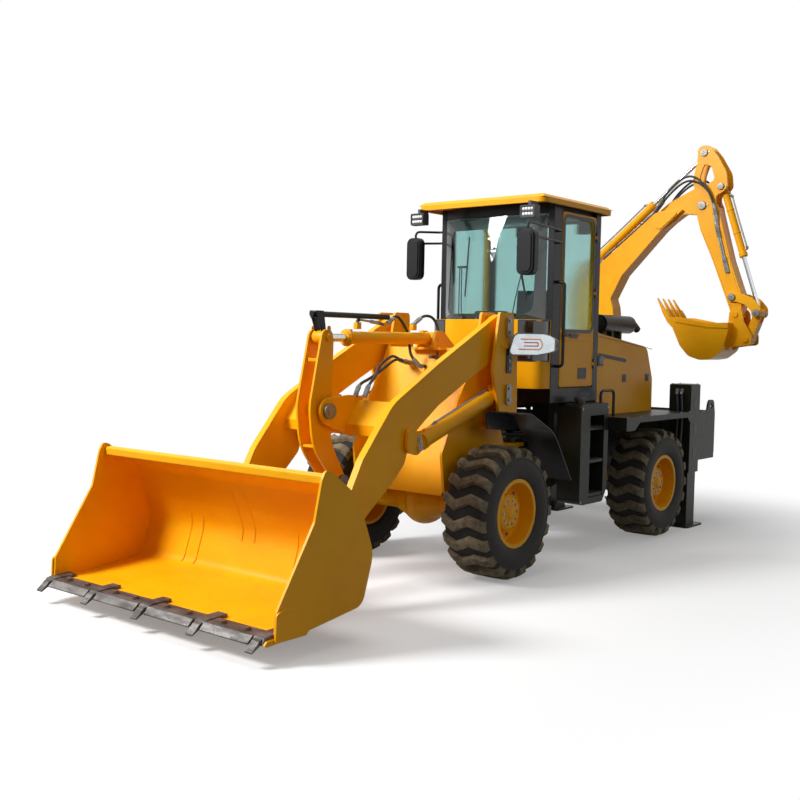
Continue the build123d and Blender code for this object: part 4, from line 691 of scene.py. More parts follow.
class BackhoePaint(bpy.types.PropertyGroup):
    """Colours of the machine's paint."""
    machine_colour: FloatVectorProperty(name="Machine colour",
                                        description="Yellow of the sheet metal and arms",
                                        subtype="COLOR_GAMMA", size=3, min=0, max=1,
                                        default=(0.985, 0.70, 0.02))
    machine_shade: FloatVectorProperty(name="Machine shade", description="Deeper tone the paint drifts to",
                                       subtype="COLOR_GAMMA", size=3, min=0, max=1,
                                       default=(0.96, 0.66, 0.01))
    dust: FloatProperty(name="Road dust", description="How much dust lies on the low surfaces",
                        subtype="FACTOR", min=0, max=1, default=0.10)


class BackhoeWheels(bpy.types.PropertyGroup):
    """Sizes of the tyres' and hubs' detail."""
    lug_count: IntProperty(name="Tread blocks", description="Blocks round each tyre", min=8, max=40,
                           default=19)
    lug_depth: metre_setting("Tread depth", "Height of a block over the casing", 0.01, 0.06, 0.036)
    hub_bolts: IntProperty(name="Hub bolts", description="Bolts round each hub", min=4, max=20, default=10)


class BackhoeLines(bpy.types.PropertyGroup):
    """Sizes of the hydraulic lines."""
    hose_radius: metre_setting("Hose radius", "Outer radius of the flexible hoses", 0.005, 0.03, 0.012)
    pipe_radius: metre_setting("Pipe radius", "Outer radius of the rigid pipes", 0.004, 0.02, 0.009)


class BackhoeCab(bpy.types.PropertyGroup):
    """Sizes of the cab's glazing and seat."""
    border_side: metre_setting("Side border", "Printed border at the windscreen's sides", 0.02, 0.2, 0.085)
    border_top: metre_setting("Top border", "Printed border at the windscreen's top", 0.02, 0.2, 0.11)
    seat_puff: metre_setting("Seat crown", "How far the seat's pads crown", 0.0, 0.05, 0.022)


# ------------------------------------------------------------------ loader geometry shared by the operators
ARM_Y = 557
TOWER_FACE = 659.5
KEEPER_FACE = 673
COVER_HOLES = (1690, 1750, 1810)
ARM_PIN, LIFT_BASE, LIFT_EYE = (-255, 2045), (-265, 1487), (862, 1103)
BUCKET_PIN, ROCKER_PIN, ROCKER_TOP = (1850, 290), (1330, 1365), (1293, 1915)
ROCKER_LOW, BUCKET_EAR, TILT_BASE = (1115, 805), (1880, 575), (-55, 1925)


def side_frame(base, eye, y):
    """Matrix at a loader cylinder's base pin, its Z toward the eye and its X upward."""
    start = place(base[0], y, base[1])
    return frame_on(start, place(eye[0], y, eye[1]) - start, (0, 0, 1))


def pin_end(bm, centre, facing, radius, height=8):
    """Chamfered round pin end with its grease nipple."""
    r, h = radius * MM, height * MM
    rows = [(0, -0.002), (r, -0.002), (r, h - 0.002), (r - 0.002, h), (0.007, h), (0.006, h + 0.004),
            (0.003, h + 0.006), (0, h + 0.006)]
    turned(bm, rows, frame_on(centre, facing), 28, close=False)


def lock_plate(bm, centre, facing, along, length, width, thick=8):
    """Flat keeper plate with rounded ends, lying on a face."""
    z = Vector(facing).normalized()
    x = Vector(along).normalized()
    y = z.cross(x)
    half, r = length / 2 - width / 2, width / 2
    corners = []
    for hand in (1, -1):
        for k in range(9):
            angle = pi * k / 8 - hand * pi / 2
            corners.append((hand * half + r * cos(angle), r * sin(angle)))
    points = [Vector(centre) + x * a * MM + y * b * MM for a, b in corners]
    slab(bm, points, z * thick * MM, 0.0015, 1)


# ------------------------------------------------------------------ operators
NODE_FINISHES = {
    "yellow enamel": (
        "front_frame loader_arms bucket_link rocker loader_bucket lift_barrels tilt_barrel hood cab_panels "
        "roof door swing_post carriage boom dipper guide_link push_link hoe_bucket boom_ram_barrel "
        "dipper_ram_barrel hoe_bucket_ram_barrel front_axle rear_axle rim_front_left rim_front_right "
        "rim_rear_left rim_rear_right"),
    "olive black enamel": (
        "rear_frame rear_fenders tanks slide_frame stabiliser_left stabiliser_right engine_block"),
    "black enamel": "front_fenders cab_frame mirrors handrails muffler controls level_rod rear_grille",
    "hard chrome": "lift_rods tilt_rod boom_ram_rod dipper_ram_rod hoe_bucket_ram_rod",
    "greased pin steel": "bucket_pins rocker_shaft link_pin",
    "worn edge steel": "bucket_teeth",
    "tinted safety glass": "cab_glass door_glass",
    "moulded black plastic": "lamps seat",
    "dusty tread rubber": "tyre_front_left tyre_front_right tyre_rear_left tyre_rear_right",
}


class PaintPieces(bpy.types.Operator):
    """Gives every structural piece its paint, chrome, steel or glass"""
    bl_idname = "backhoe.paint_pieces"
    bl_label = "Paint the structure"

    def execute(self, context):
        for finish, names in NODE_FINISHES.items():
            for name in names.split():
                piece = NODES[name]
                piece.data.materials.clear()
                piece.data.materials.append(finish_of(finish))
        return {"FINISHED"}


WHEELS = {"front_left": (0, 1), "front_right": (0, -1), "rear_left": (-WHEELBASE, 1),
          "rear_right": (-WHEELBASE, -1)}
# Bends of a tread block: place across the tyre, shift round it (mm)
LUG_BENDS = [(-194, -30), (-150, -15), (-75, 30), (0, 0), (60, -30), (150, -6), (194, 16)]


def casing_rows(depth):
    """Half section of the casing as (distance across, radius) in mm, from bead to crown."""
    root = WHEEL_RADIUS - depth
    return [(150, 268), (168, 272), (186, 290), (196, 318), (203, 350), (205, 385), (203, 412), (197, 440),
            (200, 446),
            (196, 452), (188, 470), (172, root - 12), (140, root - 5), (90, root - 2), (40, root), (0, root)]


def tread_block(bm, depth):
    """One zigzag tread block with chamfered flanks, its top on the rolling radius."""
    root, top = WHEEL_RADIUS - depth - 14, WHEEL_RADIUS
    stations = []
    for y, shift in LUG_BENDS:
        drop = max(0.0, (abs(y) - 130) / 64) ** 2 * 26
        layers = []
        for radius, half in ((root - drop * 2, 47), (top - 10 - drop, 38), (top - 1.5 - drop, 33.5)):
            for hand in (-1, 1):
                x = shift + hand * half
                layers.append(bm.verts.new(Vector((x, y * (1 if radius > root else 1.015),
                                                   (radius ** 2 - x ** 2) ** 0.5)) * MM))
        stations.append(layers)
    loop = (0, 2, 4, 5, 3, 1)
    for a, b in zip(stations, stations[1:]):
        for k in range(6):
            p, q = loop[k], loop[(k + 1) % 6]
            bm.faces.new((a[p], a[q], b[q], b[p]))
    bm.faces.new([stations[0][k] for k in loop][::-1])
    bm.faces.new([stations[-1][k] for k in loop])
    bmesh.ops.recalc_face_normals(bm, faces=bm.faces)
    top_edges = [e for e in bm.edges
                 if all((v.co.x ** 2 + v.co.z ** 2) ** 0.5 > (top - 29) * MM for v in e.verts)]
    bmesh.ops.bevel(bm, geom=top_edges, offset=0.0025, segments=1, affect="EDGES", clamp_overlap=True)


class BuildTyres(bpy.types.Operator):
    """Moulds the four tyres: casing, bead, wall ribs and zigzag tread blocks"""
    bl_idname = "backhoe.build_tyres"
    bl_label = "Tyres"

    def execute(self, context):
        sizes = context.scene.backhoe_wheels
        depth = sizes.lug_depth / MM
        for name, (x, hand) in WHEELS.items():
            body = "wheel_" + name
            centre = place(x, hand * TRACK_HALF, WHEEL_RADIUS)
            move = Matrix.Translation(centre)
            rows = casing_rows(depth)
            whole = [(r * MM, y * MM) for y, r in rows] + [(r * MM, -y * MM) for y, r in reversed(rows[:-1])]
            casing = lathe("tyre_casing_" + name, whole, frame_on(centre, (0, 1, 0)), "tyre wall rubber",
                           body, "tyre_rubber", 96, 30)
            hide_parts("tyre_" + name)
            bm = bmesh.new()
            tread_block(bm, depth)
            ring("tyre_tread_" + name, bm, sizes.lug_count, body, "dusty tread rubber", "tyre_rubber", move)
            # Shoulder ribs below each block's ends, and the thin ribs on the wall
            bm = bmesh.new()
            for side in (-1, 1):
                shift = -30 if side < 0 else 16
                for low, high, half in ((455, 500, 26), (398, 408, 3)):
                    y_low, y_high = (196, 182) if low > 440 else (202, 202)
                    points = [(shift - half, y_low - 6, low), (shift + half, y_low - 6, low),
                              (shift + half, y_high - 8, high), (shift - half, y_high - 8, high)]
                    slab(bm, [Vector((px, side * py, pz)) * MM for px, py, pz in points],
                         (0, side * 0.007, 0), 0.0015, 1)
            ring("tyre_ribs_" + name, bm, sizes.lug_count, body, "tyre wall rubber", "tyre_rubber", move)
        return {"FINISHED"}


class BuildHubs(bpy.types.Operator):
    """Bolts the hubs and rims, with caps and valves"""
    bl_idname = "backhoe.build_hubs"
    bl_label = "Hubs and rims"

    def execute(self, context):
        count = context.scene.backhoe_wheels.hub_bolts
        for name, (x, hand) in WHEELS.items():
            body = "wheel_" + name
            out = Vector((0, hand, 0))
            face = place(x, hand * (TRACK_HALF + 118), WHEEL_RADIUS)
            disc = place(x, hand * (TRACK_HALF + 54), WHEEL_RADIUS)
            spots = []
            for k in range(count):
                turn = 2 * pi * k / count
                spots.append((face + Vector((cos(turn), 0, sin(turn))) * 0.098, out, 9))
            for k in range(count + 2):
                turn = 2 * pi * (k + 0.5) / (count + 2)
                spots.append((disc + Vector((cos(turn), 0, sin(turn))) * 0.192, out, 13))
            bolts("hub_bolts_" + name, spots, body)
            rows = [(0, 0.02), (0.030, 0.020), (0.048, 0.016), (0.056, 0.008), (0.060, 0.004), (0.074, 0.003),
                    (0.076, 0), (0, 0)]
            lathe("hub_cap_" + name, rows, frame_on(face, out), "yellow enamel", body, "yellow_enamel", 40)
            rows = [(0.150, 0.0), (0.172, 0.0), (0.176, 0.004), (0.176, 0.010), (0.154, 0.014),
                    (0.150, 0.012)]
            lathe("hub_flange_" + name, rows, frame_on(disc, out), "yellow enamel", body, "yellow_enamel", 48)
            stem = place(x + 190, hand * (TRACK_HALF + 60), WHEEL_RADIUS + 150)
            rows = [(0, 0), (0.007, 0), (0.007, 0.022), (0.005, 0.024), (0.005, 0.044), (0, 0.046)]
            lathe("tyre_valve_" + name, rows, frame_on(stem, Vector((-0.4, hand, -0.3))), "zinc plated steel",
                  body, "grey_steel", 12)
        return {"FINISHED"}


class FitLoaderPins(bpy.types.Operator):
    """Locks the loader's pins with keeper plates, pin ends and bolts"""
    bl_idname = "backhoe.fit_loader_pins"
    bl_label = "Loader pins"

    def execute(self, context):
        plates = {"front": bmesh.new(), "arms": bmesh.new(), "bucket_hinge": bmesh.new(),
                  "rocker_hinge": bmesh.new(),
                  "link_hinge": bmesh.new(), "rocker_lever": bmesh.new(), "bucket": bmesh.new()}
        spots = {body: [] for body in plates}
        for hand in (1, -1):
            out = Vector((0, hand, 0))
            for x, z in (ARM_PIN, LIFT_BASE):
                point = place(x, hand * KEEPER_FACE, z)
                corners = [place(x + a, hand * KEEPER_FACE, z + b)
                           for a, b in rounded_corners(-36, 36, -98, 70, 22, 4)]
                slab(plates["front"], corners, out * 0.009, 0.0015, 1)
                spots["front"] += [(point + Vector((0, 0, d)) + out * 0.009, out, 13) for d in (-0.058,
                                                                                                0.036)]
            spots["front"] += [(place(-273, hand * TOWER_FACE, z) + out * 0.010, out, 9) for z in COVER_HOLES]
            for body, (x, z), y, reach in (("arms", LIFT_EYE, ARM_Y + 80, 62),
                                           ("bucket_hinge", BUCKET_PIN, ARM_Y + 100, 30),
                                           ("rocker_hinge", ROCKER_PIN, 150, 42),
                                           ("link_hinge", ROCKER_LOW, 98, 26),
                                           ("rocker_lever", ROCKER_TOP, 93, 40),
                                           ("bucket", BUCKET_EAR, 90, 40)):
                point = place(x, hand * y, z)
                pin_end(plates[body], point, out, min(30, reach), 6)
                if body in ("arms", "rocker_lever", "bucket"):
                    base = point - out * (0.014 if body == "arms" else 0.016)
                    lock_plate(plates[body], base + Vector((0, 0, 0.052)), out, (0, 0, 1), 74, 40)
                    spots[body] += [(base + Vector((0, 0, d)) + out * 0.008, out, 7) for d in (0.048, 0.070)]
                else:
                    spots[body] += [(point + Vector((cos(a), 0, sin(a))) * reach * MM * 1.25, out, 7)
                                    for a in (0.6, 0.6 + pi)]
        for body, bm in plates.items():
            finish = "greased pin steel" if body != "rocker_lever" else "yellow enamel"
            built("pin_keepers_" + body, bm, finish, body, "grey_steel")
            bolts("pin_bolts_" + body, spots[body], body)
        bm, straps = bmesh.new(), bmesh.new()
        for hand in (1, -1):
            shape = rounded_corners(-313, -233, 1650, 1850, 10, 3)
            slab(bm, [place(x, hand * TOWER_FACE, z) for x, z in shape], (0, hand * 0.009, 0), 0.0025, 2)
            brick(straps, place(-345, hand * TOWER_FACE, 1856), place(-166, hand * (TOWER_FACE + 12), 1886),
                  0.002, 1)
        built("tower_port_covers", bm, "black enamel", "front", "black_enamel")
        built("tower_straps", straps, "yellow enamel", "front", "yellow_enamel")
        return {"FINISHED"}


def gland_ring(bm, matrix, at, radius):
    """Raised gland at a barrel's mouth, with its groove."""
    rows = [(radius + 6.5, at - 44), (radius + 6.5, at - 30), (radius + 4, at - 28), (radius + 4, at - 24),
            (radius + 6.5, at - 22), (radius + 6.5, at - 10), (radius + 3, at - 7.6),
            (radius * 0.72, at - 7.4), (radius * 0.72, at - 40)]
    turned(bm, in_metres(rows), matrix, 32)


class FitLoaderRams(bpy.types.Operator):
    """Finishes the lift and tilt cylinders: glands, bolts, eyes and port blocks"""
    bl_idname = "backhoe.fit_loader_rams"
    bl_label = "Loader cylinders"

    def execute(self, context):
        lift_run = hypot(LIFT_EYE[0] - LIFT_BASE[0], LIFT_EYE[1] - LIFT_BASE[1])
        tilt_run = hypot(ROCKER_TOP[0] - TILT_BASE[0], ROCKER_TOP[1] - TILT_BASE[1])
        rings, spots, eyes = bmesh.new(), [], bmesh.new()
        for hand in (1, -1):
            matrix = side_frame(LIFT_BASE, LIFT_EYE, hand * ARM_Y)
            gland_ring(rings, matrix, lift_run - 95, 68)
            sleeve = [(58.2, 150), (66, 153), (68, 160), (68, lift_run - 130), (66, lift_run - 124),
                      (58.2, lift_run - 122)]
            turned(rings, in_metres(sleeve), matrix, 40)
            eye = frame_on(place(LIFT_EYE[0], hand * ARM_Y - 39.5, LIFT_EYE[1]), (0, 1, 0))
            turned(eyes, [(0.040, 0), (0.0566, 0), (0.0570, 0.003), (0.0570, 0.076), (0.0566, 0.079),
                          (0.040, 0.079)],
                   eye, 32)
        built("lift_glands", rings, "yellow enamel", "lift_barrel_pair", "yellow_enamel")
        built("lift_rod_eyes", eyes, "yellow enamel", "lift_rod_pair", "yellow_enamel")
        matrix = side_frame(TILT_BASE, ROCKER_TOP, 0)
        mouth = tilt_run - 260
        bm = bmesh.new()
        rows = [(56.5, mouth - 46), (66, mouth - 44), (68, mouth - 40), (68, mouth - 20), (66, mouth - 16),
                (58, mouth - 14), (58, mouth - 8), (36, mouth - 6), (36, mouth - 46)]
        turned(bm, in_metres(rows), matrix, 36)
        built("tilt_gland", bm, "yellow enamel", "tilt_barrel_body", "yellow_enamel")
        for k in range(8):
            turn = 2 * pi * (k + 0.5) / 8
            point = matrix @ Vector((0.052 * cos(turn), 0.052 * sin(turn), (mouth - 14) * MM))
            spots.append((point, matrix.to_3x3() @ Vector((0, 0, 1)), 6))
        bolts("tilt_gland_bolts", spots, "tilt_barrel_body", height=0.9)
        bm = bmesh.new()
        eye = frame_on(place(ROCKER_TOP[0], -50.5, ROCKER_TOP[1]), (0, 1, 0))
        turned(bm, [(0.036, 0), (0.0526, 0), (0.0530, 0.003), (0.0530, 0.098), (0.0526, 0.101),
                    (0.036, 0.101)], eye, 32)
        collar = [(32.6, -70), (44, -62), (46, -40), (30, -38), (30, -70)]
        turned(bm, in_metres((r, z + tilt_run) for r, z in collar), matrix, 28)
        built("tilt_rod_eye", bm, "yellow enamel", "tilt_rod_body", "yellow_enamel")
        blocks = bmesh.new()
        for x, z_low, z_high in ((881, 1986, 2040), (180, 1990, 2040)):
            brick(blocks, place(x - 24, -22, z_low), place(x + 24, 22, z_high), 0.004, 2)
        brick(blocks, place(541, -20, 2012), place(577, 20, 2046), 0.003, 2)
        built("tilt_port_blocks", blocks, "yellow enamel", "tilt_barrel_body",
              "yellow_enamel")
        return {"FINISHED"}


class RunLoaderLines(bpy.types.Operator):
    """Runs the loader's pipes and hoses"""
    bl_idname = "backhoe.run_loader_lines"
    bl_label = "Loader hoses and pipes"

    def execute(self, context):
        lines = context.scene.backhoe_lines
        hose_mm, pipe_mm = lines.hose_radius / MM, lines.pipe_radius / MM
        hose("tilt_pipe", [[place(881, 0, 2038), place(881, 0, 2056), place(850, 0, 2060),
                            place(620, 0, 2040),
                            place(575, 0, 2031)]], "tilt_barrel_body", pipe_mm, "steel pipe", ferrule=14)
        rear, front = place(180, 0, 2039), place(540, 0, 2030)
        hose("tilt_hose_front", [[front, place(500, 0, 2040), place(413, 0, 2117), place(297, -10, 2048),
                                  place(150, -60, 1930),
                                  place(100, -100, 1848), place(100, -81, 1774), place(80, -20, 1701),
                                  place(60, -8, 1690)]],
             "front", hose_mm, ends=("tilt_barrel_body", place(120, -60, 1800), place(420, 0, 2060)))
        hose("tilt_hose_rear", [[rear, place(150, 0, 2055), place(40, 10, 2125), place(-90, 20, 2100),
                                 place(-120, 50, 1960), place(-66, 90, 1803), place(-40, 95, 1770)]],
             "front", hose_mm, ends=("tilt_barrel_body", place(-100, 60, 1900), place(120, 0, 2060)))
        arcs = []
        for (x0, y0, z0), (x1, y1, z1), sink in (((100, -189, 1728), (1000, 208, 1510), 0),
                                                 ((100, -134, 1717), (1000, 110, 1506), 26)):
            arcs.append([place(x0 - 60, y0, z0), place(x0, y0, z0), place(x0 + 60, y0, z0 + 34 - sink / 2),
                         place(300, -135 + (y0 + 189) * 0.8, 1775 - sink),
                         place(600, -20 + (y0 + 189) * 0.8, 1690 - sink),
                         place(820, y1 * 0.7, 1620 - sink), place(x1 - 40, y1, z1 + 60), place(x1, y1, z1),
                         place(x1 + 10, y1, z1 - 30)])
        hose("arm_hoses", arcs, "front", hose_mm, ends=("arms", place(200, 0, 1760), place(900, 0, 1560)))
        lifts = []
        for hand in (1, -1):
            y = hand * ARM_Y
            lifts.append([place(640, y, 1235), place(601, y, 1262), place(560, y, 1282), place(67, y, 1450),
                          place(-60, y, 1492), place(-120, y, 1500)])
        hose("lift_pipes", lifts, "lift_barrel_pair", pipe_mm, "steel pipe", ferrule=16)
        walls = []
        for y, z in ((-189, 1728), (-134, 1717), (-8, 1690), (95, 1770)):
            walls.append([place(60, y, z), place(20, y, z + 6), place(-30, y, z - 10), place(-60, y, z - 90),
                          place(-66, y, z - 240)])
        hose("wall_pipes", walls, "front", pipe_mm, "steel pipe", ferrule=14)
        return {"FINISHED"}


class FitBucket(bpy.types.Operator):
    """Bolts the cutting edge to the loader bucket"""
    bl_idname = "backhoe.fit_bucket"
    bl_label = "Loader bucket fittings"

    def execute(self, context):
        slope = Vector((0.10, 0, 1)).normalized()
        spots = []
        for y, half in ((-813, 214), (-274.5, 219), (274.5, 219), (813, 214)):
            for step in (-0.5, 0.5):
                spots.append((place(2850, y + step * half, 173.5), slope, 19))
        bolts("edge_bolts", spots, "bucket", "rusty bolt steel", "grey_steel", 0.5)
        return {"FINISHED"}


# ------------------------------------------------------------------ cab geometry shared by the operators
SCREEN_LOW, SCREEN_HIGH, SCREEN_HALF = 2110, 3050, 560
DOOR_FACE = 622


def screen_point(y, z, proud=0.0):
    """Point on the curved windscreen's outer face, or a little proud of it (mm)."""
    share = (z - SCREEN_LOW) / (SCREEN_HIGH - SCREEN_LOW)
    depths = []
    for middle in (-772, -908):
        rise = middle + 1010
        radius = (SCREEN_HALF ** 2 + rise ** 2) / (2 * rise)
        depths.append(middle - radius + (radius ** 2 - y ** 2) ** 0.5)
    return place(depths[0] * (1 - share) + depths[1] * share + proud, y, z)


def rounded_corners(y_low, y_high, z_low, z_high, radius, steps=6):
    """Rounded rectangle as (across, up) points, the same count for every radius."""
    points = []
    for cy, cz, start in ((y_high, z_high, 0), (y_low, z_high, 90), (y_low, z_low, 180),
                          (y_high, z_low, 270)):
        sy, sz = (-1 if cy == y_high else 1), (-1 if cz == z_high else 1)
        for k in range(steps + 1):
            turn = radians(start + 90 * k / steps)
            points.append((cy + sy * radius + radius * cos(turn), cz + sz * radius + radius * sin(turn)))
    return points


def surface_frame(bm, outer, inner, on_surface, thick, across=5):
    """Closed band between two outlines of the same count, laid on a surface function of (a, b, proud)."""
    count = len(outer)
    layers = []
    for proud in (0.3, thick):
        rows = []
        for j in range(across + 1):
            f = j / across
            rows.append([bm.verts.new(on_surface(o[0] * (1 - f) + i[0] * f, o[1] * (1 - f) + i[1] * f, proud))
                         for o, i in zip(outer, inner)])
        layers.append(rows)
    for k in range(count):
        n = (k + 1) % count
        for j in range(across):
            for rows in layers:
                bm.faces.new((rows[j][k], rows[j][n], rows[j + 1][n], rows[j + 1][k]))
        for j in (0, across):
            bm.faces.new((layers[0][j][k], layers[0][j][n], layers[1][j][n], layers[1][j][k]))


# The nose's corner in plan: a straight run, an arc about its centre and the cab's side (mm)
NOSE_CENTRE, NOSE_RADIUS, NOSE_START, NOSE_END = (-951.7, 488.4), 120, radians(15.46), radians(84.6)
NOSE_STRAIGHT, NOSE_SIDE = 125, 58
CORNER_RUN = NOSE_STRAIGHT + NOSE_RADIUS * (NOSE_END - NOSE_START) + NOSE_SIDE


def corner_point(hand, reach, z, up):
    """Point on the cab nose's corner, reach mm along it from the middle outward and up mm proud of it."""
    turn = min(max(NOSE_START + (reach - NOSE_STRAIGHT) / NOSE_RADIUS, NOSE_START), NOSE_END)
    over = min(0.0, reach - NOSE_STRAIGHT) + max(0.0, reach - CORNER_RUN + NOSE_SIDE)
    x = NOSE_CENTRE[0] + (NOSE_RADIUS + up) * cos(turn) - over * sin(turn)
    y = NOSE_CENTRE[1] + (NOSE_RADIUS + up) * sin(turn) + over * cos(turn)
    return place(x, hand * y, z)


class GlazeCab(bpy.types.Operator):
    """Prints the windscreen's border, seals the windows, glazes the nose's corners and hangs the wipers"""
    bl_idname = "backhoe.glaze_cab"
    bl_label = "Glazing and wipers"

    def execute(self, context):
        cab = context.scene.backhoe_cab
        side, top = cab.border_side / MM, cab.border_top / MM
        bm = bmesh.new()
        outer = rounded_corners(-555, 555, 2113, 3047, 4, 8)
        inner = rounded_corners(-555 + side, 555 - side, 2165, 3047 - top, 70, 8)
        surface_frame(bm, outer, inner, screen_point, 1.6, 8)
        built("windscreen_border", bm, "printed glass border", "chassis", "black_enamel")
        for name, body, hand in (("door", "cab_door", 1), ("side", "chassis", -1)):
            bm = bmesh.new()

            def skin(x, z, up, h=hand):
                return place(x, h * (DOOR_FACE + up - 0.2), z)
            surface_frame(bm, rounded_corners(-1757, -1168, 2004, 3066, 74),
                          rounded_corners(-1724, -1201, 2035, 3040, 54), skin, 4.5, 2)
            built(name + "_window_seal", bm, "moulded black plastic", body, "black_enamel")
        # Near-black glass wrapped round the nose's two corners, each in its black seal; the near-black is
        # painted shade for the inside behind the panes
        panes, seals = bmesh.new(), bmesh.new()
        for hand in (1, -1):
            for bm, margin, proud in ((seals, 0, 1.8), (panes, 11, 3.2)):
                grids = [[[corner_point(hand, margin + (CORNER_RUN - 2 * margin) * i / 24, z, up)
                           for i in range(25)]
                          for z in (1739 + margin, 2108 - margin)] for up in (proud, 0.3)]
                closed_sheet(bm, *grids)
        built("corner_glass_seals", seals, "moulded black plastic", "chassis",
              "black_enamel")
        built("corner_glass", panes, "dark corner glass", "chassis", "black_enamel")
        # Parallel-arm wiper in the middle and a plain one beside it
        wipers = [[screen_point(-235, 2118, 22), screen_point(-252, 2250, 30), screen_point(-289, 2590, 22)],
                  [screen_point(-200, 2118, 22), screen_point(-218, 2250, 30), screen_point(-262, 2590, 22)],
                  [screen_point(323, 2150, 20), screen_point(338, 2300, 28), screen_point(371, 2515, 20)]]
        tubes("wiper_arms", wipers, 5, "moulded black plastic", "chassis", "black_enamel")
        bm = bmesh.new()
        for (y0, z0), (y1, z1) in (((-207, 2870), (-190, 2320)), ((310, 2760), (420, 2290))):
            steps = 14
            last = None
            for k in range(steps + 1):
                f = k / steps
                y, z = y0 + (y1 - y0) * f, z0 + (z1 - z0) * f
                half = 5 + 4 * sin(pi * f)
                loop = [bm.verts.new(screen_point(y + dy, z, up)) for dy, up in
                        ((-2, 2.2), (2, 2.2), (half, 9), (half * 0.6, 18), (-half * 0.6, 18), (-half, 9))]
                if last:
                    for n in range(6):
                        bm.faces.new((last[n], last[(n + 1) % 6], loop[(n + 1) % 6], loop[n]))
                else:
                    bm.faces.new(loop[::-1])
                last = loop
            bm.faces.new(last)
        for y, z in ((-235, 2118), (-200, 2118), (323, 2150)):
            base = screen_point(y, z, 0)
            turned(bm, [(0, -0.002), (0.019, -0.002), (0.018, 0.012), (0.012, 0.026), (0, 0.028)],
                   frame_on(base, (1, 0, 0.15)), 20, close=False)
        brick(bm, screen_point(-300, 2584, 14), screen_point(-205, 2602, 30), 0.003, 1)
        built("wiper_blades", bm, "moulded black plastic", "chassis", "black_enamel")
        return {"FINISHED"}


class FitDoor(bpy.types.Operator):
    """Gives the door its handle, vent, pressing and hinge bolts, and the cab its side lamp"""
    bl_idname = "backhoe.fit_door"
    bl_label = "Door fittings"

    def execute(self, context):
        bm = bmesh.new()
        brick(bm, place(-1460, DOOR_FACE - 0.5, 1956), place(-1178, DOOR_FACE + 14, 1998), 0.008, 3)
        brick(bm, place(-1452, DOOR_FACE + 18, 1974), place(-1300, DOOR_FACE + 27, 1992), 0.004, 3)
        for x in (-1444, -1312):
            brick(bm, place(x - 8, DOOR_FACE + 11, 1976), place(x + 8, DOOR_FACE + 20, 1990), 0.002, 1)
        turned(bm, [(0, 0), (0.016, 0), (0.016, 0.004), (0.012, 0.008), (0, 0.008)],
               frame_on(place(-1240, DOOR_FACE + 11.5, 1983), (0, 1, 0)), 24, close=False)
        built("door_handle", bm, "moulded black plastic", "cab_door", "black_enamel")
        bm = bmesh.new()

        def skin(x, z, up):
            return place(x, DOOR_FACE + up - 0.2, z)
        surface_frame(bm, rounded_corners(-1640, -1492, 1579, 1684, 12),
                      rounded_corners(-1628, -1504, 1591, 1672, 6), skin, 6, 2)
        built("door_vent_frame", bm, "moulded black plastic", "cab_door", "black_enamel")
        bm = bmesh.new()
        slab(bm, [place(-1630, DOOR_FACE - 0.2, 1594), place(-1502, DOOR_FACE - 0.2, 1594),
                  place(-1502, DOOR_FACE + 4.5, 1589),
                  place(-1630, DOOR_FACE + 4.5, 1589)], (0, 0, 0.009), 0.0008, 1)
        row("door_vent_slats", bm, 7, (0, 0, 0.0115), "cab_door", "moulded black plastic", "black_enamel")
        bm = bmesh.new()
        surface_frame(bm, rounded_corners(-1752, -1173, 1524, 1940, 34),
                      rounded_corners(-1744, -1181, 1532, 1932, 28), skin, 2.2, 2)
        built("door_pressing", bm, "yellow enamel", "cab_door", "yellow_enamel", 60)
        spots = []
        for z in (1720, 2380, 2900):
            for dz in (-30, 30):
                spots.append((place(-1784, 630, z + dz), (0, 1, 0), 4))
        bolts("hinge_bolts", spots, "chassis", "zinc plated steel", "black_enamel")
        block("side_lamp_box", place(-1990, 597, 1700), place(-1880, 622, 1800), 0.006, 3,
              "moulded black plastic", "chassis", "lamp_plastic")
        block("side_lamp_lens", place(-1976, 620, 1714), place(-1894, 628, 1786), 0.004, 3,
              "clear lamp lens", "chassis", "lamp_plastic")
        return {"FINISHED"}


# The headlamp's front follows this line from the tower outward and round its end (mm, left hand)
LAMP_TRACK = [(-230, 675), (-320, 812), (-424, 968), (-486, 994), (-492, 945)]
LAMP_LOW, LAMP_HIGH = 1798, 1986


def lamp_patch(hand, inset, up, sink=0.0, bulge=0.0):
    """Grid of points on the headlamp's teardrop face, inset from its edge, sunk or proud of it (mm)."""
    track = spline_points([place(x, hand * y, 0) for x, y in LAMP_TRACK], 16)
    lengths = [0.0]
    for p, q in zip(track, track[1:]):
        lengths.append(lengths[-1] + (q - p).length)
    grid = []
    for j in range(13):
        f = j / 12
        z = LAMP_LOW + inset + (LAMP_HIGH - LAMP_LOW - 2 * inset) * f
        corner = 26 * abs(2 * f - 1) ** 7
        fall = 0.38 * ((0.42 - f) / 0.42) ** 2 if f < 0.42 else 0.24 * ((f - 0.42) / 0.58) ** 2
        start = (6 + 44 * f + inset + corner) * MM
        end = lengths[-1] * (1 - fall) - (inset + corner) * MM
        line = []
        for i in range(25):
            reach = start + (end - start) * i / 24
            k = next(n for n in range(1, len(track)) if lengths[n] >= reach or n == len(track) - 1)
            share = (reach - lengths[k - 1]) / (lengths[k] - lengths[k - 1])
            heading = (track[k] - track[k - 1]).normalized()
            out = Vector((heading.y, -heading.x, 0)) * hand
            crown = (1 - abs(2 * f - 1) ** 3) * (1 - abs(i / 12 - 1) ** 3)
            spot = track[k - 1].lerp(track[k], share) + out * (up + bulge * crown) * MM
            line.append(spot + Vector((-sink, 0, z)) * MM)
        grid.append(line)
    return grid


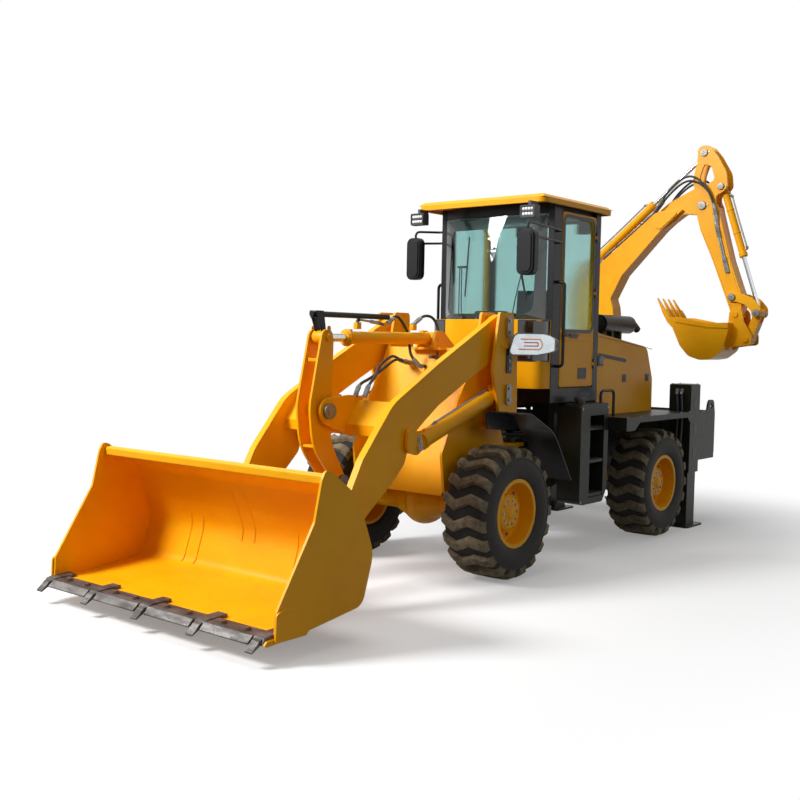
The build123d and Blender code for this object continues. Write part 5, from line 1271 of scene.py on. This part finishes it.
class FitLamps(bpy.types.Operator):
    """Builds the headlamps, the work lamps' diode faces and the mirrors' glass"""
    bl_idname = "backhoe.fit_lamps"
    bl_label = "Lamps"

    def execute(self, context):
        shells, bowls, lenses, ambers, reds, diodes, bezels = (bmesh.new() for _ in range(7))
        for hand in (1, -1):
            closed_sheet(shells, lamp_patch(hand, 0, -5), lamp_patch(hand, 24, -12, 90))
            brick(shells, place(-345, hand * 660, 1850), place(-300, hand * 720, 1890), 0.003, 1)
            closed_sheet(bowls, lamp_patch(hand, 10, -2, 0, -2), lamp_patch(hand, 13, -9, 4))
            closed_sheet(lenses, lamp_patch(hand, 3, 2, 0, 9), lamp_patch(hand, 3, -1, 0, 8))
            face = lamp_patch(hand, 10, 1)
            for low, high, left, right, bright in ((3, 9, 4, 15, ambers), (5, 7, 6, 13, reds)):
                loop = [face[low][n] for n in range(left, right)] + [face[m][right] for m in range(low, high)]
                loop += [face[high][n] for n in range(right, left - 1, -1)]
                for p, q in zip(loop, loop[1:]):
                    turned(bright, [(0, 0), (0.005, 0), (0.005, (q - p).length), (0, (q - p).length)],
                           frame_on(p, q - p), 8, close=False)
            for x, mid, way in ((-640, hand * 600, 1), (-2040, hand * 350, -1)):
                face = x + way * 40

                def front(y, z, up, f=face, w=way):
                    return place(f + w * (up - 0.3), y, z)
                surface_frame(bezels, rounded_corners(mid - 73, mid + 73, 2973, 3079, 12),
                              rounded_corners(mid - 64, mid + 64, 2982, 3070, 6), front, 6, 1)
                for iy in (-42, -14, 14, 42):
                    for iz in (3004, 3048):
                        turned(diodes, [(0, 0), (0.0125, 0), (0.012, 0.003), (0.007, 0.0045), (0, 0.005)],
                               frame_on(front(mid + iy, iz, 0.4), (way, 0, 0)), 16, close=False)
                for fin in range(7):
                    z = 2980 + fin * 15
                    brick(bezels, place(x - way * 39, mid - 66, z), place(x - way * 52, mid + 66, z + 4),
                          0.0008, 1)
        shell = built("headlamp_shells", shells, "smoked lamp back", "front", "lamp_plastic")
        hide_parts("headlamps")
        built("headlamp_bowls", bowls, "polished reflector", "front", "lamp_plastic")
        built("headlamp_lenses", lenses, "clear lamp lens", "front", "lamp_plastic")
        built("turn_lamps", ambers, "amber lens", "front", "lamp_plastic")
        built("side_lights", reds, "red lens", "front", "lamp_plastic")
        built("work_lamp_diodes", diodes, "diode white", "chassis", "lamp_plastic")
        built("work_lamp_bezels", bezels, "moulded black plastic", "chassis", "lamp_plastic")
        bm = bmesh.new()
        for x, y, z_low, z_high in ((-300, 800, 2460, 2840), (-900, -850, 2490, 2890)):
            def rear(across, z, up, f=x - 29):
                return place(f - up + 0.3, across, z)
            corners = [rear(a, z, 0.4) for a, z in rounded_corners(y - 76, y + 76, z_low + 9, z_high - 9, 60)]
            slab(bm, corners, (-0.0012, 0, 0), 0.0004, 1)
        built("mirror_glasses", bm, "mirror silver", "chassis", "lamp_plastic")
        return {"FINISHED"}


def pad(name, centre, along, across, length, width, thick, puff, channels, body):
    """Sewn seat pad: a crowned closed form pinched at its seams, with channels sewn across it."""
    x, y = Vector(along).normalized(), Vector(across).normalized()
    z = x.cross(y)
    bm = bmesh.new()
    cols, rows = 26, 20
    grids = []
    for side in (1, -1):
        grid = []
        for i in range(cols + 1):
            u = 2 * i / cols - 1
            line = []
            for j in range(rows + 1):
                v = 2 * j / rows - 1
                crown = (1 - abs(u) ** 4) * (1 - abs(v) ** 4)
                sewn = sum(0.006 * 2.718 ** (-((u - c) / 0.045) ** 2) * (1 - v * v) for c in channels)
                pull = 1 - 0.035 * (1 - abs(u)) * abs(v) ** 3 - 0.02 * (1 - abs(v)) * abs(u) ** 3
                lift = (thick / 2 * (1 - max(abs(u), abs(v)) ** 10 * 0.25)
                        + (puff * crown - sewn if side > 0 else 0))
                line.append(centre + x * (u * length / 2 * pull) + y * (v * width / 2 * pull)
                            + z * side * lift)
            grid.append(line)
        grids.append(grid)
    closed_sheet(bm, *grids)
    made = built(name, bm, "grained seat vinyl", body, "seat_vinyl", crease=60)
    smooth = made.modifiers.new("smooth", "SUBSURF")
    smooth.levels = smooth.render_levels = 1
    return made


class FurnishCab(bpy.types.Operator):
    """Upholsters the seat and fits the cab's inside"""
    bl_idname = "backhoe.furnish_cab"
    bl_label = "Seat and cab inside"

    def execute(self, context):
        puff = context.scene.backhoe_cab.seat_puff
        bm = bmesh.new()
        for k in range(6):
            z = 1420 + k * 46
            grow = 0 if k % 2 else 10
            brick(bm, place(-1612 - grow, -142 - grow, z), place(-1388 + grow, 142 + grow, z + 46.5), 0.008,
                  2)
        brick(bm, place(-1690, -225, 1698), place(-1250, 225, 1730), 0.010, 3)
        for hand in (1, -1):
            brick(bm, place(-1680, hand * 243, 1962), place(-1404, hand * 297, 2008), 0.014, 3)
            brick(bm, place(-1696, hand * 232, 1784), place(-1664, hand * 250, 1986), 0.004, 2)
        base = built("seat_base", bm, "moulded black plastic", "chassis", "seat_vinyl")
        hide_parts("seat")
        pad("seat_cushion", place(-1462, 0, 1768), (1, 0, 0.05), (0, 1, 0), 0.455, 0.466, 0.072, puff,
            (-0.4, 0.1, 0.55), "chassis")
        lean = Vector((-80, 0, 620)).normalized()
        pad("seat_back", place(-1722, 0, 2130), lean, (0, 1, 0), 0.585, 0.446, 0.060, puff,
            (-0.45, 0.0, 0.45), "chassis")
        bm = bmesh.new()
        for y in (-480, -420):
            for k in range(5):
                r = 0.034 - 0.005 * k
                base_point = place(-1500 + k * 2.2, y, 1958 + k * 11)
                turned(bm, [(0, 0), (r, 0), (r + 0.003, 0.0055), (r - 0.002, 0.011), (0, 0.011)],
                       frame_on(base_point, (0.16, 0, 1)), 18, close=False)
        brick(bm, place(-1774, -514, 1958), place(-1560, -386, 1974), 0.005, 2)
        for k in range(4):
            brick(bm, place(-1760 + k * 44, -500, 1973), place(-1734 + k * 44, -474, 1980), 0.002, 2)
        built("console_top", bm, "moulded black plastic", "chassis", "black_enamel")
        bm = bmesh.new()
        outline = [(-1016, -560), (-1016, 560), (-880, 540), (-800, 300), (-786, 0), (-800, -300),
                   (-880, -540)]
        slab(bm, [place(x, y, 2092) for x, y in outline], (0, 0, 0.016), 0.005, 2)
        brick(bm, place(-1040, -150, 2100), place(-900, 150, 2190), 0.02, 4)
        built("dash_top", bm, "moulded black plastic", "chassis", "black_enamel")
        block("roof_lining", place(-1770, -520, 3062), place(-1160, 520, 3110), 0.012, 3,
              "moulded black plastic", "chassis", "black_enamel")
        return {"FINISHED"}


class FitHood(bpy.types.Operator):
    """Lays the hood's slot and long seam and fits its latches and rear grille"""
    bl_idname = "backhoe.fit_hood"
    bl_label = "Engine hood"

    def execute(self, context):
        bm = bmesh.new()
        for hand in (1, -1):
            slot = [(-1925, 1822), (-2476, 1765), (-2494, 1747), (-2476, 1729), (-1925, 1786), (-1908, 1804)]
            slab(bm, [place(x, hand * 599.5, z) for x, z in slot], (0, hand * 0.0024, 0), 0.0008, 1)
            slab(bm, [place(-1912, hand * 599.5, 1984), place(-1912, hand * 599.5, 1978),
                      place(-3060, hand * 599.5, 1862),
                      place(-3060, hand * 599.5, 1868)], (0, hand * 0.0016, 0))
        built("hood_slots", bm, "black enamel", "chassis", "black_enamel")
        bm = bmesh.new()
        for hand in (1, -1):
            for x in (-2455, -2960):
                brick(bm, place(x - 38, hand * 599, 1536), place(x + 38, hand * 607, 1612), 0.005, 3)
                turned(bm, [(0, 0), (0.015, 0), (0.015, 0.004), (0.010, 0.006), (0, 0.006)],
                       frame_on(place(x, hand * 606, 1574), (0, hand, 0)), 24, close=False)
        built("hood_latches", bm, "moulded black plastic", "chassis", "black_enamel")
        low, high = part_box("rear_grille")
        bm = bmesh.new()
        rear = low.x
        slab(bm, [Vector((rear + 0.002, low.y + 0.03, low.z + 0.03)),
                  Vector((rear + 0.002, high.y - 0.03, low.z + 0.03)),
                  Vector((rear - 0.004, high.y - 0.03, low.z + 0.024)),
                  Vector((rear - 0.004, low.y + 0.03, low.z + 0.024))],
             (0, 0, 0.006), 0.001, 1)
        count = int((high.z - low.z - 0.06) / 0.022)
        row("grille_slats", bm, count, (0, 0, 0.022), "chassis", "black enamel", "black_enamel")
        return {"FINISHED"}


class FitSteps(bpy.types.Operator):
    """Grips the steps, caps the tanks and bolts the platforms"""
    bl_idname = "backhoe.fit_steps"
    bl_label = "Steps and tanks"

    def execute(self, context):
        for hand, side in ((1, "left"), (-1, "right")):
            for level, z in enumerate((540, 850, 1150)):
                bm = bmesh.new()
                for x, y in ((-1684, 782), (-1684, 740), (-1664, 782), (-1664, 740)):
                    turned(bm, [(0, 0), (0.008, 0), (0.006, 0.005), (0.004, 0.006), (0, 0.006)],
                           frame_on(place(x, hand * y, z - 2), (0, 0, 1)), 8, close=False)
                row("step_grip_%s_%d" % (side, level + 1), bm, 6, (0.038, 0, 0), "chassis",
                    "olive black enamel", "olive_black_enamel")
        bm = bmesh.new()
        for hand in (1, -1):
            centre = place(-1360, hand * 730, 1390)
            rows = [(0, 0), (0.049, 0), (0.051, 0.004), (0.051, 0.024), (0.046, 0.030), (0.020, 0.032),
                    (0, 0.032)]
            turned(bm, rows, frame_on(centre, (0, 0, 1)), 36, close=False)
            for k in range(12):
                turn = 2 * pi * k / 12
                spot = centre + Vector((cos(turn), sin(turn), 0)) * 0.0505
                turned(bm, [(0, 0.003), (0.005, 0.004), (0.005, 0.022), (0, 0.024)],
                       frame_on(spot, (0, 0, 1)), 8, close=False)
        built("tank_caps", bm, "moulded black plastic", "chassis", "black_enamel")
        spots = []
        for hand in (1, -1):
            for x in (-1830, -2100, -2400, -2700, -3000, -3200):
                spots.append((place(x, hand * 972, 1225), (0, 0, 1), 9))
            for x, z in ((-1290, 470), (-1760, 470), (-1290, 1320), (-1760, 1320)):
                spots.append((place(x, hand * 800, z), (0, hand, 0), 10))
        bolts("platform_bolts", spots, "chassis", "zinc plated steel", "olive_black_enamel")
        return {"FINISHED"}


# ------------------------------------------------------------------ backhoe geometry shared by the operators
DIPPER_HALF = 85
BOOM_FOOT, BOOM_RAM_BASE, BOOM_LOBE = (-755, 1380), (-585, 950), (-472, 2164)
DIPPER_PIN, DIPPER_RAM_BASE, DIPPER_RAM_EYE = (643, 3460), (-740, 2868), (648, 4035)
HOE_RAM_BASE, HOE_RAM_EYE, GUIDE_PIN = (850, 3653), (1305, 2272), (1027, 2444)


def hoe_frame(base, eye):
    """Matrix at a backhoe cylinder's base pin, its Z toward the eye and its X toward the machine's front."""
    start = hoe(*base)
    return frame_on(start, hoe(*eye) - start, (1, 0, 0))


class FitSlideFrame(bpy.types.Operator):
    """Finishes the side-shift frame and the stabiliser columns"""
    bl_idname = "backhoe.fit_slide_frame"
    bl_label = "Side-shift frame"

    def execute(self, context):
        lines = context.scene.backhoe_lines
        caps, window_shade_plates = bmesh.new(), bmesh.new()
        spots = []
        for hand in (1, -1):
            y = hand * 820
            brick(caps, place(-3528, y - 112, 1499), place(-3302, y + 112, 1507), 0.004, 2)
            for z in (1300, 1040, 780):
                # The black plates on the columns' faces are painted shade: they stand for the dark inside of
                # each window.
                corners = [place(x, hand * 939.5, zz)
                           for x, zz in rounded_corners(-3450, -3380, z - 62, z + 62, 34)]
                slab(window_shade_plates, corners, (0, hand * 0.0022, 0), 0.0008, 1)
                corners = [place(-3300.5, y + a, zz)
                           for a, zz in rounded_corners(-34, 34, z - 62, z + 62, 33)]
                slab(window_shade_plates, corners, (0.0022, 0, 0), 0.0008, 1)
            for x in (-3505, -3325):
                for dy in (-96, 96):
                    spots.append((place(x, y + dy, 1506), (0, 0, 1), 8))
        built("column_caps", caps, "zinc plated steel", "chassis", "olive_black_enamel")
        built("column_window_shade", window_shade_plates, "black enamel", "chassis", "black_enamel")
        for z in (1170, 740):
            for k in range(9):
                spots.append((place(-3899, -860 + k * 215, z), (1, 0, 0), 9))
        bolts("slide_bolts", spots, "chassis", "zinc plated steel", "olive_black_enamel")
        routes = []
        for hand in (1, -1):
            for k, dy in enumerate((-26, 22)):
                y = hand * 820 + dy
                routes.append([place(-3296, y, 1440), place(-3276, y, 1446),
                               place(-3262, y + hand * 10, 1380),
                               place(-3268, y + hand * 22, 1180), place(-3264, y + hand * 14, 960 - k * 40),
                               place(-3276, y, 880 - k * 40), place(-3297, y, 876 - k * 40)])
        hose("stabiliser_hoses", routes, "chassis", lines.hose_radius / MM)
        return {"FINISHED"}


class FitBackhoePins(bpy.types.Operator):
    """Locks the backhoe's pins with round heads, grease nipples and keeper bolts"""
    bl_idname = "backhoe.fit_backhoe_pins"
    bl_label = "Backhoe pins"

    def execute(self, context):
        table = [("post", BOOM_FOOT, 134, 40), ("post", BOOM_RAM_BASE, 134, 30),
                 ("hoe_boom", DIPPER_RAM_BASE, 114, 28),
                 ("hoe_boom", BOOM_LOBE, 114, 34), ("hoe_dipper", DIPPER_PIN, 99, 35),
                 ("hoe_dipper", HOE_RAM_BASE, 95, 25),
                 ("hoe_dipper", DIPPER_RAM_EYE, 95, 28), ("guide", GUIDE_PIN, 127, 28),
                 ("guide", HOE_RAM_EYE, 127, 28)]
        ends, spots = {}, {}
        for body, centre, out, radius in table:
            bm = ends.setdefault(body, bmesh.new())
            for way in (1, -1):
                face = hoe(centre[0], centre[1], way * out)
                rows = [(0, -4), (radius + 9, -4), (radius + 12, -2), (radius + 12, 4), (radius + 9, 7),
                        (radius * 0.5, 8), (radius * 0.45, 5), (8, 5), (7, 9), (0, 9)]
                turned(bm, in_metres(rows), frame_on(face, (way, 0, 0)), 30, close=False)
                keeper = hoe(centre[0] + radius + 30, centre[1] + 6, way * (out - 14))
                spots.setdefault(body, []).append((keeper, (way, 0, 0), 8))
        for body, bm in ends.items():
            built("round_pins_" + body, bm, "greased pin steel", body, "grey_steel")
        for body in ("hoe_boom", "hoe_dipper"):
            bolts("keeper_bolts_" + body, spots[body], body, height=1.2)
        return {"FINISHED"}


class FitBackhoeRams(bpy.types.Operator):
    """Finishes the three backhoe cylinders: glands, barrel bands, return pipes and rod eyes"""
    bl_idname = "backhoe.fit_backhoe_rams"
    bl_label = "Backhoe cylinders"

    def execute(self, context):
        pipe_mm = context.scene.backhoe_lines.pipe_radius / MM
        table = [("boom", BOOM_RAM_BASE, BOOM_LOBE, 668, 50, -1, "boom_barrel", "boom_rod", 44),
                 ("dipper", DIPPER_RAM_BASE, DIPPER_RAM_EYE, 1012, 46, 1, "dipper_barrel", "dipper_rod", 54),
                 ("hoe_bucket", HOE_RAM_BASE, HOE_RAM_EYE, 812, 39, 1, "tool_barrel", "tool_rod", 36)]
        for name, base, eye, mouth, radius, side, barrel, rod, half in table:
            matrix = hoe_frame(base, eye)
            bm = bmesh.new()
            gland_ring(bm, matrix, mouth, radius)
            for at in (mouth * 0.33, mouth * 0.66):
                rows = [(radius + 0.2, at - 9), (radius + 3, at - 8), (radius + 3, at + 8),
                        (radius + 0.2, at + 9)]
                turned(bm, in_metres(rows), matrix, 28)
            built(name + "_ram_gland", bm, "yellow enamel", barrel, "yellow_enamel")
            line = matrix @ Vector((0, -side * (radius + 14) * MM, (mouth - 75) * MM))
            out = (matrix.to_3x3() @ Vector((0, -side, 0))) * MM
            along = (matrix.to_3x3() @ Vector((0, 0, 1))) * MM
            start = line
            run = mouth - 75 - 120
            points = [start, start + out * 10 - along * 4, start + out * 9 - along * 40,
                      start + out * 6 - along * run * 0.5,
                      start + out * 9 - along * (run - 40), start + out * 10 - along * (run - 4),
                      start - along * run]
            hose(name + "_ram_pipe", [points], barrel, pipe_mm, "steel pipe", ferrule=16)
            bm = bmesh.new()
            width = (half + 0.5) * MM
            eye_frame = frame_on(hoe(eye[0], eye[1], -half - 0.5), (1, 0, 0))
            rows = [(0.030, 0), (0.0446, 0), (0.0450, 0.003), (0.0450, 2 * width - 0.003),
                    (0.0446, 2 * width), (0.030, 2 * width)]
            turned(bm, rows, eye_frame, 30)
            built(name + "_rod_eye", bm, "yellow enamel", rod, "yellow_enamel")
        return {"FINISHED"}


class RunBackhoeLines(bpy.types.Operator):
    """Runs the backhoe's hoses and pipes from the post to the dipper"""
    bl_idname = "backhoe.run_backhoe_lines"
    bl_label = "Backhoe hoses and pipes"

    def execute(self, context):
        lines = context.scene.backhoe_lines
        hose_mm, pipe_mm = lines.hose_radius / MM, lines.pipe_radius / MM
        pipes = []
        for out in (62, -62, 84, -84):
            pipes.append([hoe(-560, 2900, out), hoe(-520, 2950, out), hoe(-430, 3020, out),
                          hoe(-150, 3238, out), hoe(40, 3388, out), hoe(75, 3412, out)])
        hose("boom_top_pipes", pipes, "hoe_boom", pipe_mm, "steel pipe", ferrule=18)
        clamps = bmesh.new()
        for y, z in ((-380, 3046), (-80, 3278)):
            for way in (1, -1):
                brick(clamps, hoe(y - 16, z - 6, way * 50), hoe(y + 16, z + 22, way * 96), 0.004, 2)
        built("boom_pipe_clamps", clamps, "moulded black plastic", "hoe_boom", "black_enamel")
        for k, (way, out, rise) in enumerate(((1, 104, 0), (1, 122, 46), (-1, 104, 0), (-1, 122, 46))):
            start = hoe(75, 3412, way * (84 if k % 2 else 62))
            route = [start, hoe(130, 3450, way * out), hoe(250, 3590 + rise, way * (out + 6)),
                     hoe(420, 3730 + rise, way * (out + 8)),
                     hoe(560, 3740 + rise, way * (out + 8)), hoe(700, 3640 + rise / 2, way * (out + 6)),
                     hoe(770, 3520, way * (out + 2)), hoe(800 + rise / 3, 3380, way * (out - 4)),
                     hoe(815 + rise / 3, 3250, way * 96)]
            hose("tip_hose_%d" % (k + 1), [route], "hoe_boom", hose_mm,
                 ends=("hoe_dipper", hoe(330, 3660, way * out), hoe(760, 3560, way * out)))
        drops = [[hoe(y, z, way * out) for y, z, out in zip(run, (3250, 3200, 2980, 2800, 2720),
                                                            (96, 97, 97, 97, 96))]
                 for way in (1, -1) for run in ((815, 822, 880, 930, 952), (830, 838, 900, 950, 972))]
        hose("dipper_pipes", drops, "hoe_dipper", pipe_mm, "steel pipe", ferrule=18)
        for k, (way, dz) in enumerate(((1, 0), (1, 60), (-1, 0), (-1, 60))):
            route = [hoe(-660, 1090 + dz, way * 118), hoe(-700, 1150 + dz, way * 128),
                     hoe(-790, 1320 + dz, way * 132), hoe(-850, 1520 + dz, way * 128),
                     hoe(-880, 1720 + dz, way * 114), hoe(-900, 1850 + dz, way * 106)]
            hose("boom_foot_hose_%d" % (k + 1), [route], "post", hose_mm,
                 ends=("hoe_boom", hoe(-740, 1240, way * 125), hoe(-830, 1560, way * 125)))
        walls = []
        for way in (1, -1):
            for step in (0, 30):
                walls.append([hoe(-900 + step, 1850, way * 106), hoe(-905 + step, 1900, way * 106),
                              hoe(-930 + step, 2150, way * 106),
                              hoe(-945 + step, 2420, way * 106), hoe(-900 + step, 2650, way * 106),
                              hoe(-760 + step, 2800, way * 108),
                              hoe(-610 + step / 2, 2870, way * 104), hoe(-560, 2900, way * 84)])
        hose("boom_side_pipes", walls, "hoe_boom", pipe_mm, "steel pipe", ferrule=18)
        return {"FINISHED"}


class FitHoeBucket(bpy.types.Operator):
    """Lays the dipper's weld beads"""
    bl_idname = "backhoe.fit_hoe_bucket"
    bl_label = "Backhoe welds and bucket"

    def execute(self, context):
        welds = []
        for way in (1, -1):
            out = way * (DIPPER_HALF + 0.5)
            welds.append([hoe(800, 3440, out), hoe(960, 2847, out), hoe(1098, 2482, out)])
            welds.append([hoe(640, 3189, out), hoe(800, 2860, out), hoe(1018, 2300, out)])
        tubes("dipper_welds", welds, 3.5, "yellow enamel", "hoe_dipper", "yellow_enamel")
        return {"FINISHED"}


# The camera's place (m), heading, pitch and roll, and its lens (mm); the floor's half side and its pale tone
CAMERA_SPOT = Vector((7.7603, 5.386, 1.8987))
CAMERA_YAW, CAMERA_PITCH, CAMERA_ROLL = radians(39.223), radians(3.218), radians(1.101)
CAMERA_LENS, CAMERA_SENSOR = 47.18, 36
FLOOR_HALF, FLOOR_TONE, FLOOR_BOUNCE = 40, 0.90, 0.34
SKY_FILL = 0.17
# Disk lamps: name, place (m), size (m), power (W)
STUDIO_LAMPS = (("key", (9.5, -5.5, 8.5), 4.0, 1900), ("sky", (0.5, -1.0, 11.0), 7.0, 400),
                ("side", (2.0, 9.0, 5.0), 5.0, 60))


class SetStage(bpy.types.Operator):
    """Lays the pale floor and sets the soft lights and the camera"""
    bl_idname = "backhoe.set_stage"
    bl_label = "Stage, lights and camera"

    def execute(self, context):
        scene = context.scene
        scene.view_settings.view_transform = "Standard"
        bm = bmesh.new()
        bm.faces.new([bm.verts.new((x * FLOOR_HALF, y * FLOOR_HALF, -0.001))
                      for x, y in ((-1, -1), (1, -1), (1, 1), (-1, 1))])
        mesh = bpy.data.meshes.new("studio_floor")
        bm.to_mesh(mesh)
        bm.free()
        material, tree, shader, coords = blank_material("studio floor")
        ray = put(tree, "ShaderNodeLightPath")
        direct = maths(tree, "MAXIMUM", ray.outputs["Is Camera Ray"], ray.outputs["Is Glossy Ray"])
        tone = mixed(tree, direct, (*[FLOOR_BOUNCE] * 3, 1), (*[FLOOR_TONE] * 3, 1))
        # Far from the machine the floor takes the background's white, so no horizon shows
        oval = put(tree, "ShaderNodeMapping", {"Vector": coords, "Scale": (0.8, 1.2, 1.0)}).outputs[0]
        far = put(tree, "ShaderNodeVectorMath", {0: oval}, operation="LENGTH").outputs["Value"]
        away = ramp(tree, far, 2.6, 5.0, 0.25, 1.0)
        glow = put(tree, "ShaderNodeEmission", {"Color": (1, 1, 1, 1), "Strength": direct})
        blend = put(tree, "ShaderNodeMixShader", {0: away, 1: shader, 2: glow})
        feed(tree, tree.nodes["Material Output"], {"Surface": blend})
        feed(tree, shader, {"Base Color": tone, "Roughness": 0.9, "Specular IOR Level": 0.1})
        mesh.materials.append(material)
        linked("studio_floor", mesh)
        world = bpy.data.worlds.new("studio")
        scene.world = world
        world.use_nodes = True
        tree = world.node_tree
        tree.nodes.clear()
        ray = put(tree, "ShaderNodeLightPath")
        seen = maths(tree, "MAXIMUM", ray.outputs["Is Camera Ray"], ray.outputs["Is Glossy Ray"])
        seen = maths(tree, "MAXIMUM", seen, ray.outputs["Is Transmission Ray"])
        fill = put(tree, "ShaderNodeBackground", {"Color": (1.0, 1.0, 1.0, 1), "Strength": SKY_FILL})
        white = put(tree, "ShaderNodeBackground", {"Color": (1.0, 1.0, 1.0, 1), "Strength": 1.0})
        both = put(tree, "ShaderNodeMixShader", {0: seen, 1: fill, 2: white})
        put(tree, "ShaderNodeOutputWorld", {0: both})
        middle = Vector((0, 0, 1.6))
        for name, spot, size, power in STUDIO_LAMPS:
            lamp = bpy.data.lights.new(name, "AREA")
            lamp.shape = "DISK"
            lamp.size = size
            lamp.energy = power
            holder = linked(name, lamp)
            holder.location = spot
            holder.rotation_euler = (middle - Vector(spot)).to_track_quat("-Z", "Y").to_euler()
        yaw, pitch, roll = CAMERA_YAW, CAMERA_PITCH, CAMERA_ROLL
        ahead = Vector((-cos(yaw) * cos(pitch), -sin(yaw) * cos(pitch), -sin(pitch)))
        right = Vector((-sin(yaw), cos(yaw), 0))
        up = right.cross(ahead)
        right, up = right * cos(roll) + up * sin(roll), up * cos(roll) - right * sin(roll)
        lens = bpy.data.cameras.new("camera")
        lens.lens = CAMERA_LENS
        lens.sensor_width = CAMERA_SENSOR
        turn = Matrix((right, up, -ahead)).transposed().to_4x4()
        turn.translation = CAMERA_SPOT
        scene.camera = linked("camera", lens)
        scene.camera.matrix_world = turn
        return {"FINISHED"}


STEPS = (SetStage, PaintPieces, BuildTyres, BuildHubs, FitLoaderPins, FitLoaderRams, RunLoaderLines,
         FitBucket, GlazeCab, FitDoor, FitLamps, FurnishCab, FitHood, FitSteps, FitSlideFrame,
         FitBackhoePins, FitBackhoeRams, RunBackhoeLines, FitHoeBucket)
GROUPS = {"backhoe_paint": BackhoePaint, "backhoe_wheels": BackhoeWheels, "backhoe_lines": BackhoeLines,
          "backhoe_cab": BackhoeCab}


class BackhoePanel(bpy.types.Panel):
    """Lists the machine's settings and the steps that dress it"""
    bl_idname = "VIEW3D_PT_backhoe"
    bl_label = "Backhoe loader"
    bl_space_type = "VIEW_3D"
    bl_region_type = "UI"
    bl_category = "Backhoe loader"

    def draw(self, context):
        for name, group in GROUPS.items():
            box = self.layout.box()
            for setting in group.__annotations__:
                box.prop(getattr(context.scene, name), setting)
        for step in STEPS:
            self.layout.operator(step.bl_idname)


def register():
    for name, group in GROUPS.items():
        bpy.utils.register_class(group)
        setattr(bpy.types.Scene, name, PointerProperty(type=group))
    for step in STEPS:
        bpy.utils.register_class(step)
    bpy.utils.register_class(BackhoePanel)


def unregister():
    bpy.utils.unregister_class(BackhoePanel)
    for step in reversed(STEPS):
        bpy.utils.unregister_class(step)
    for name, group in GROUPS.items():
        delattr(bpy.types.Scene, name)
        bpy.utils.unregister_class(group)


def main():
    """Registers the add-on and runs every step in order."""
    register()
    for step in STEPS:
        getattr(bpy.ops.backhoe, step.bl_idname.split(".")[1])()


if __name__ == "__main__":
    main()
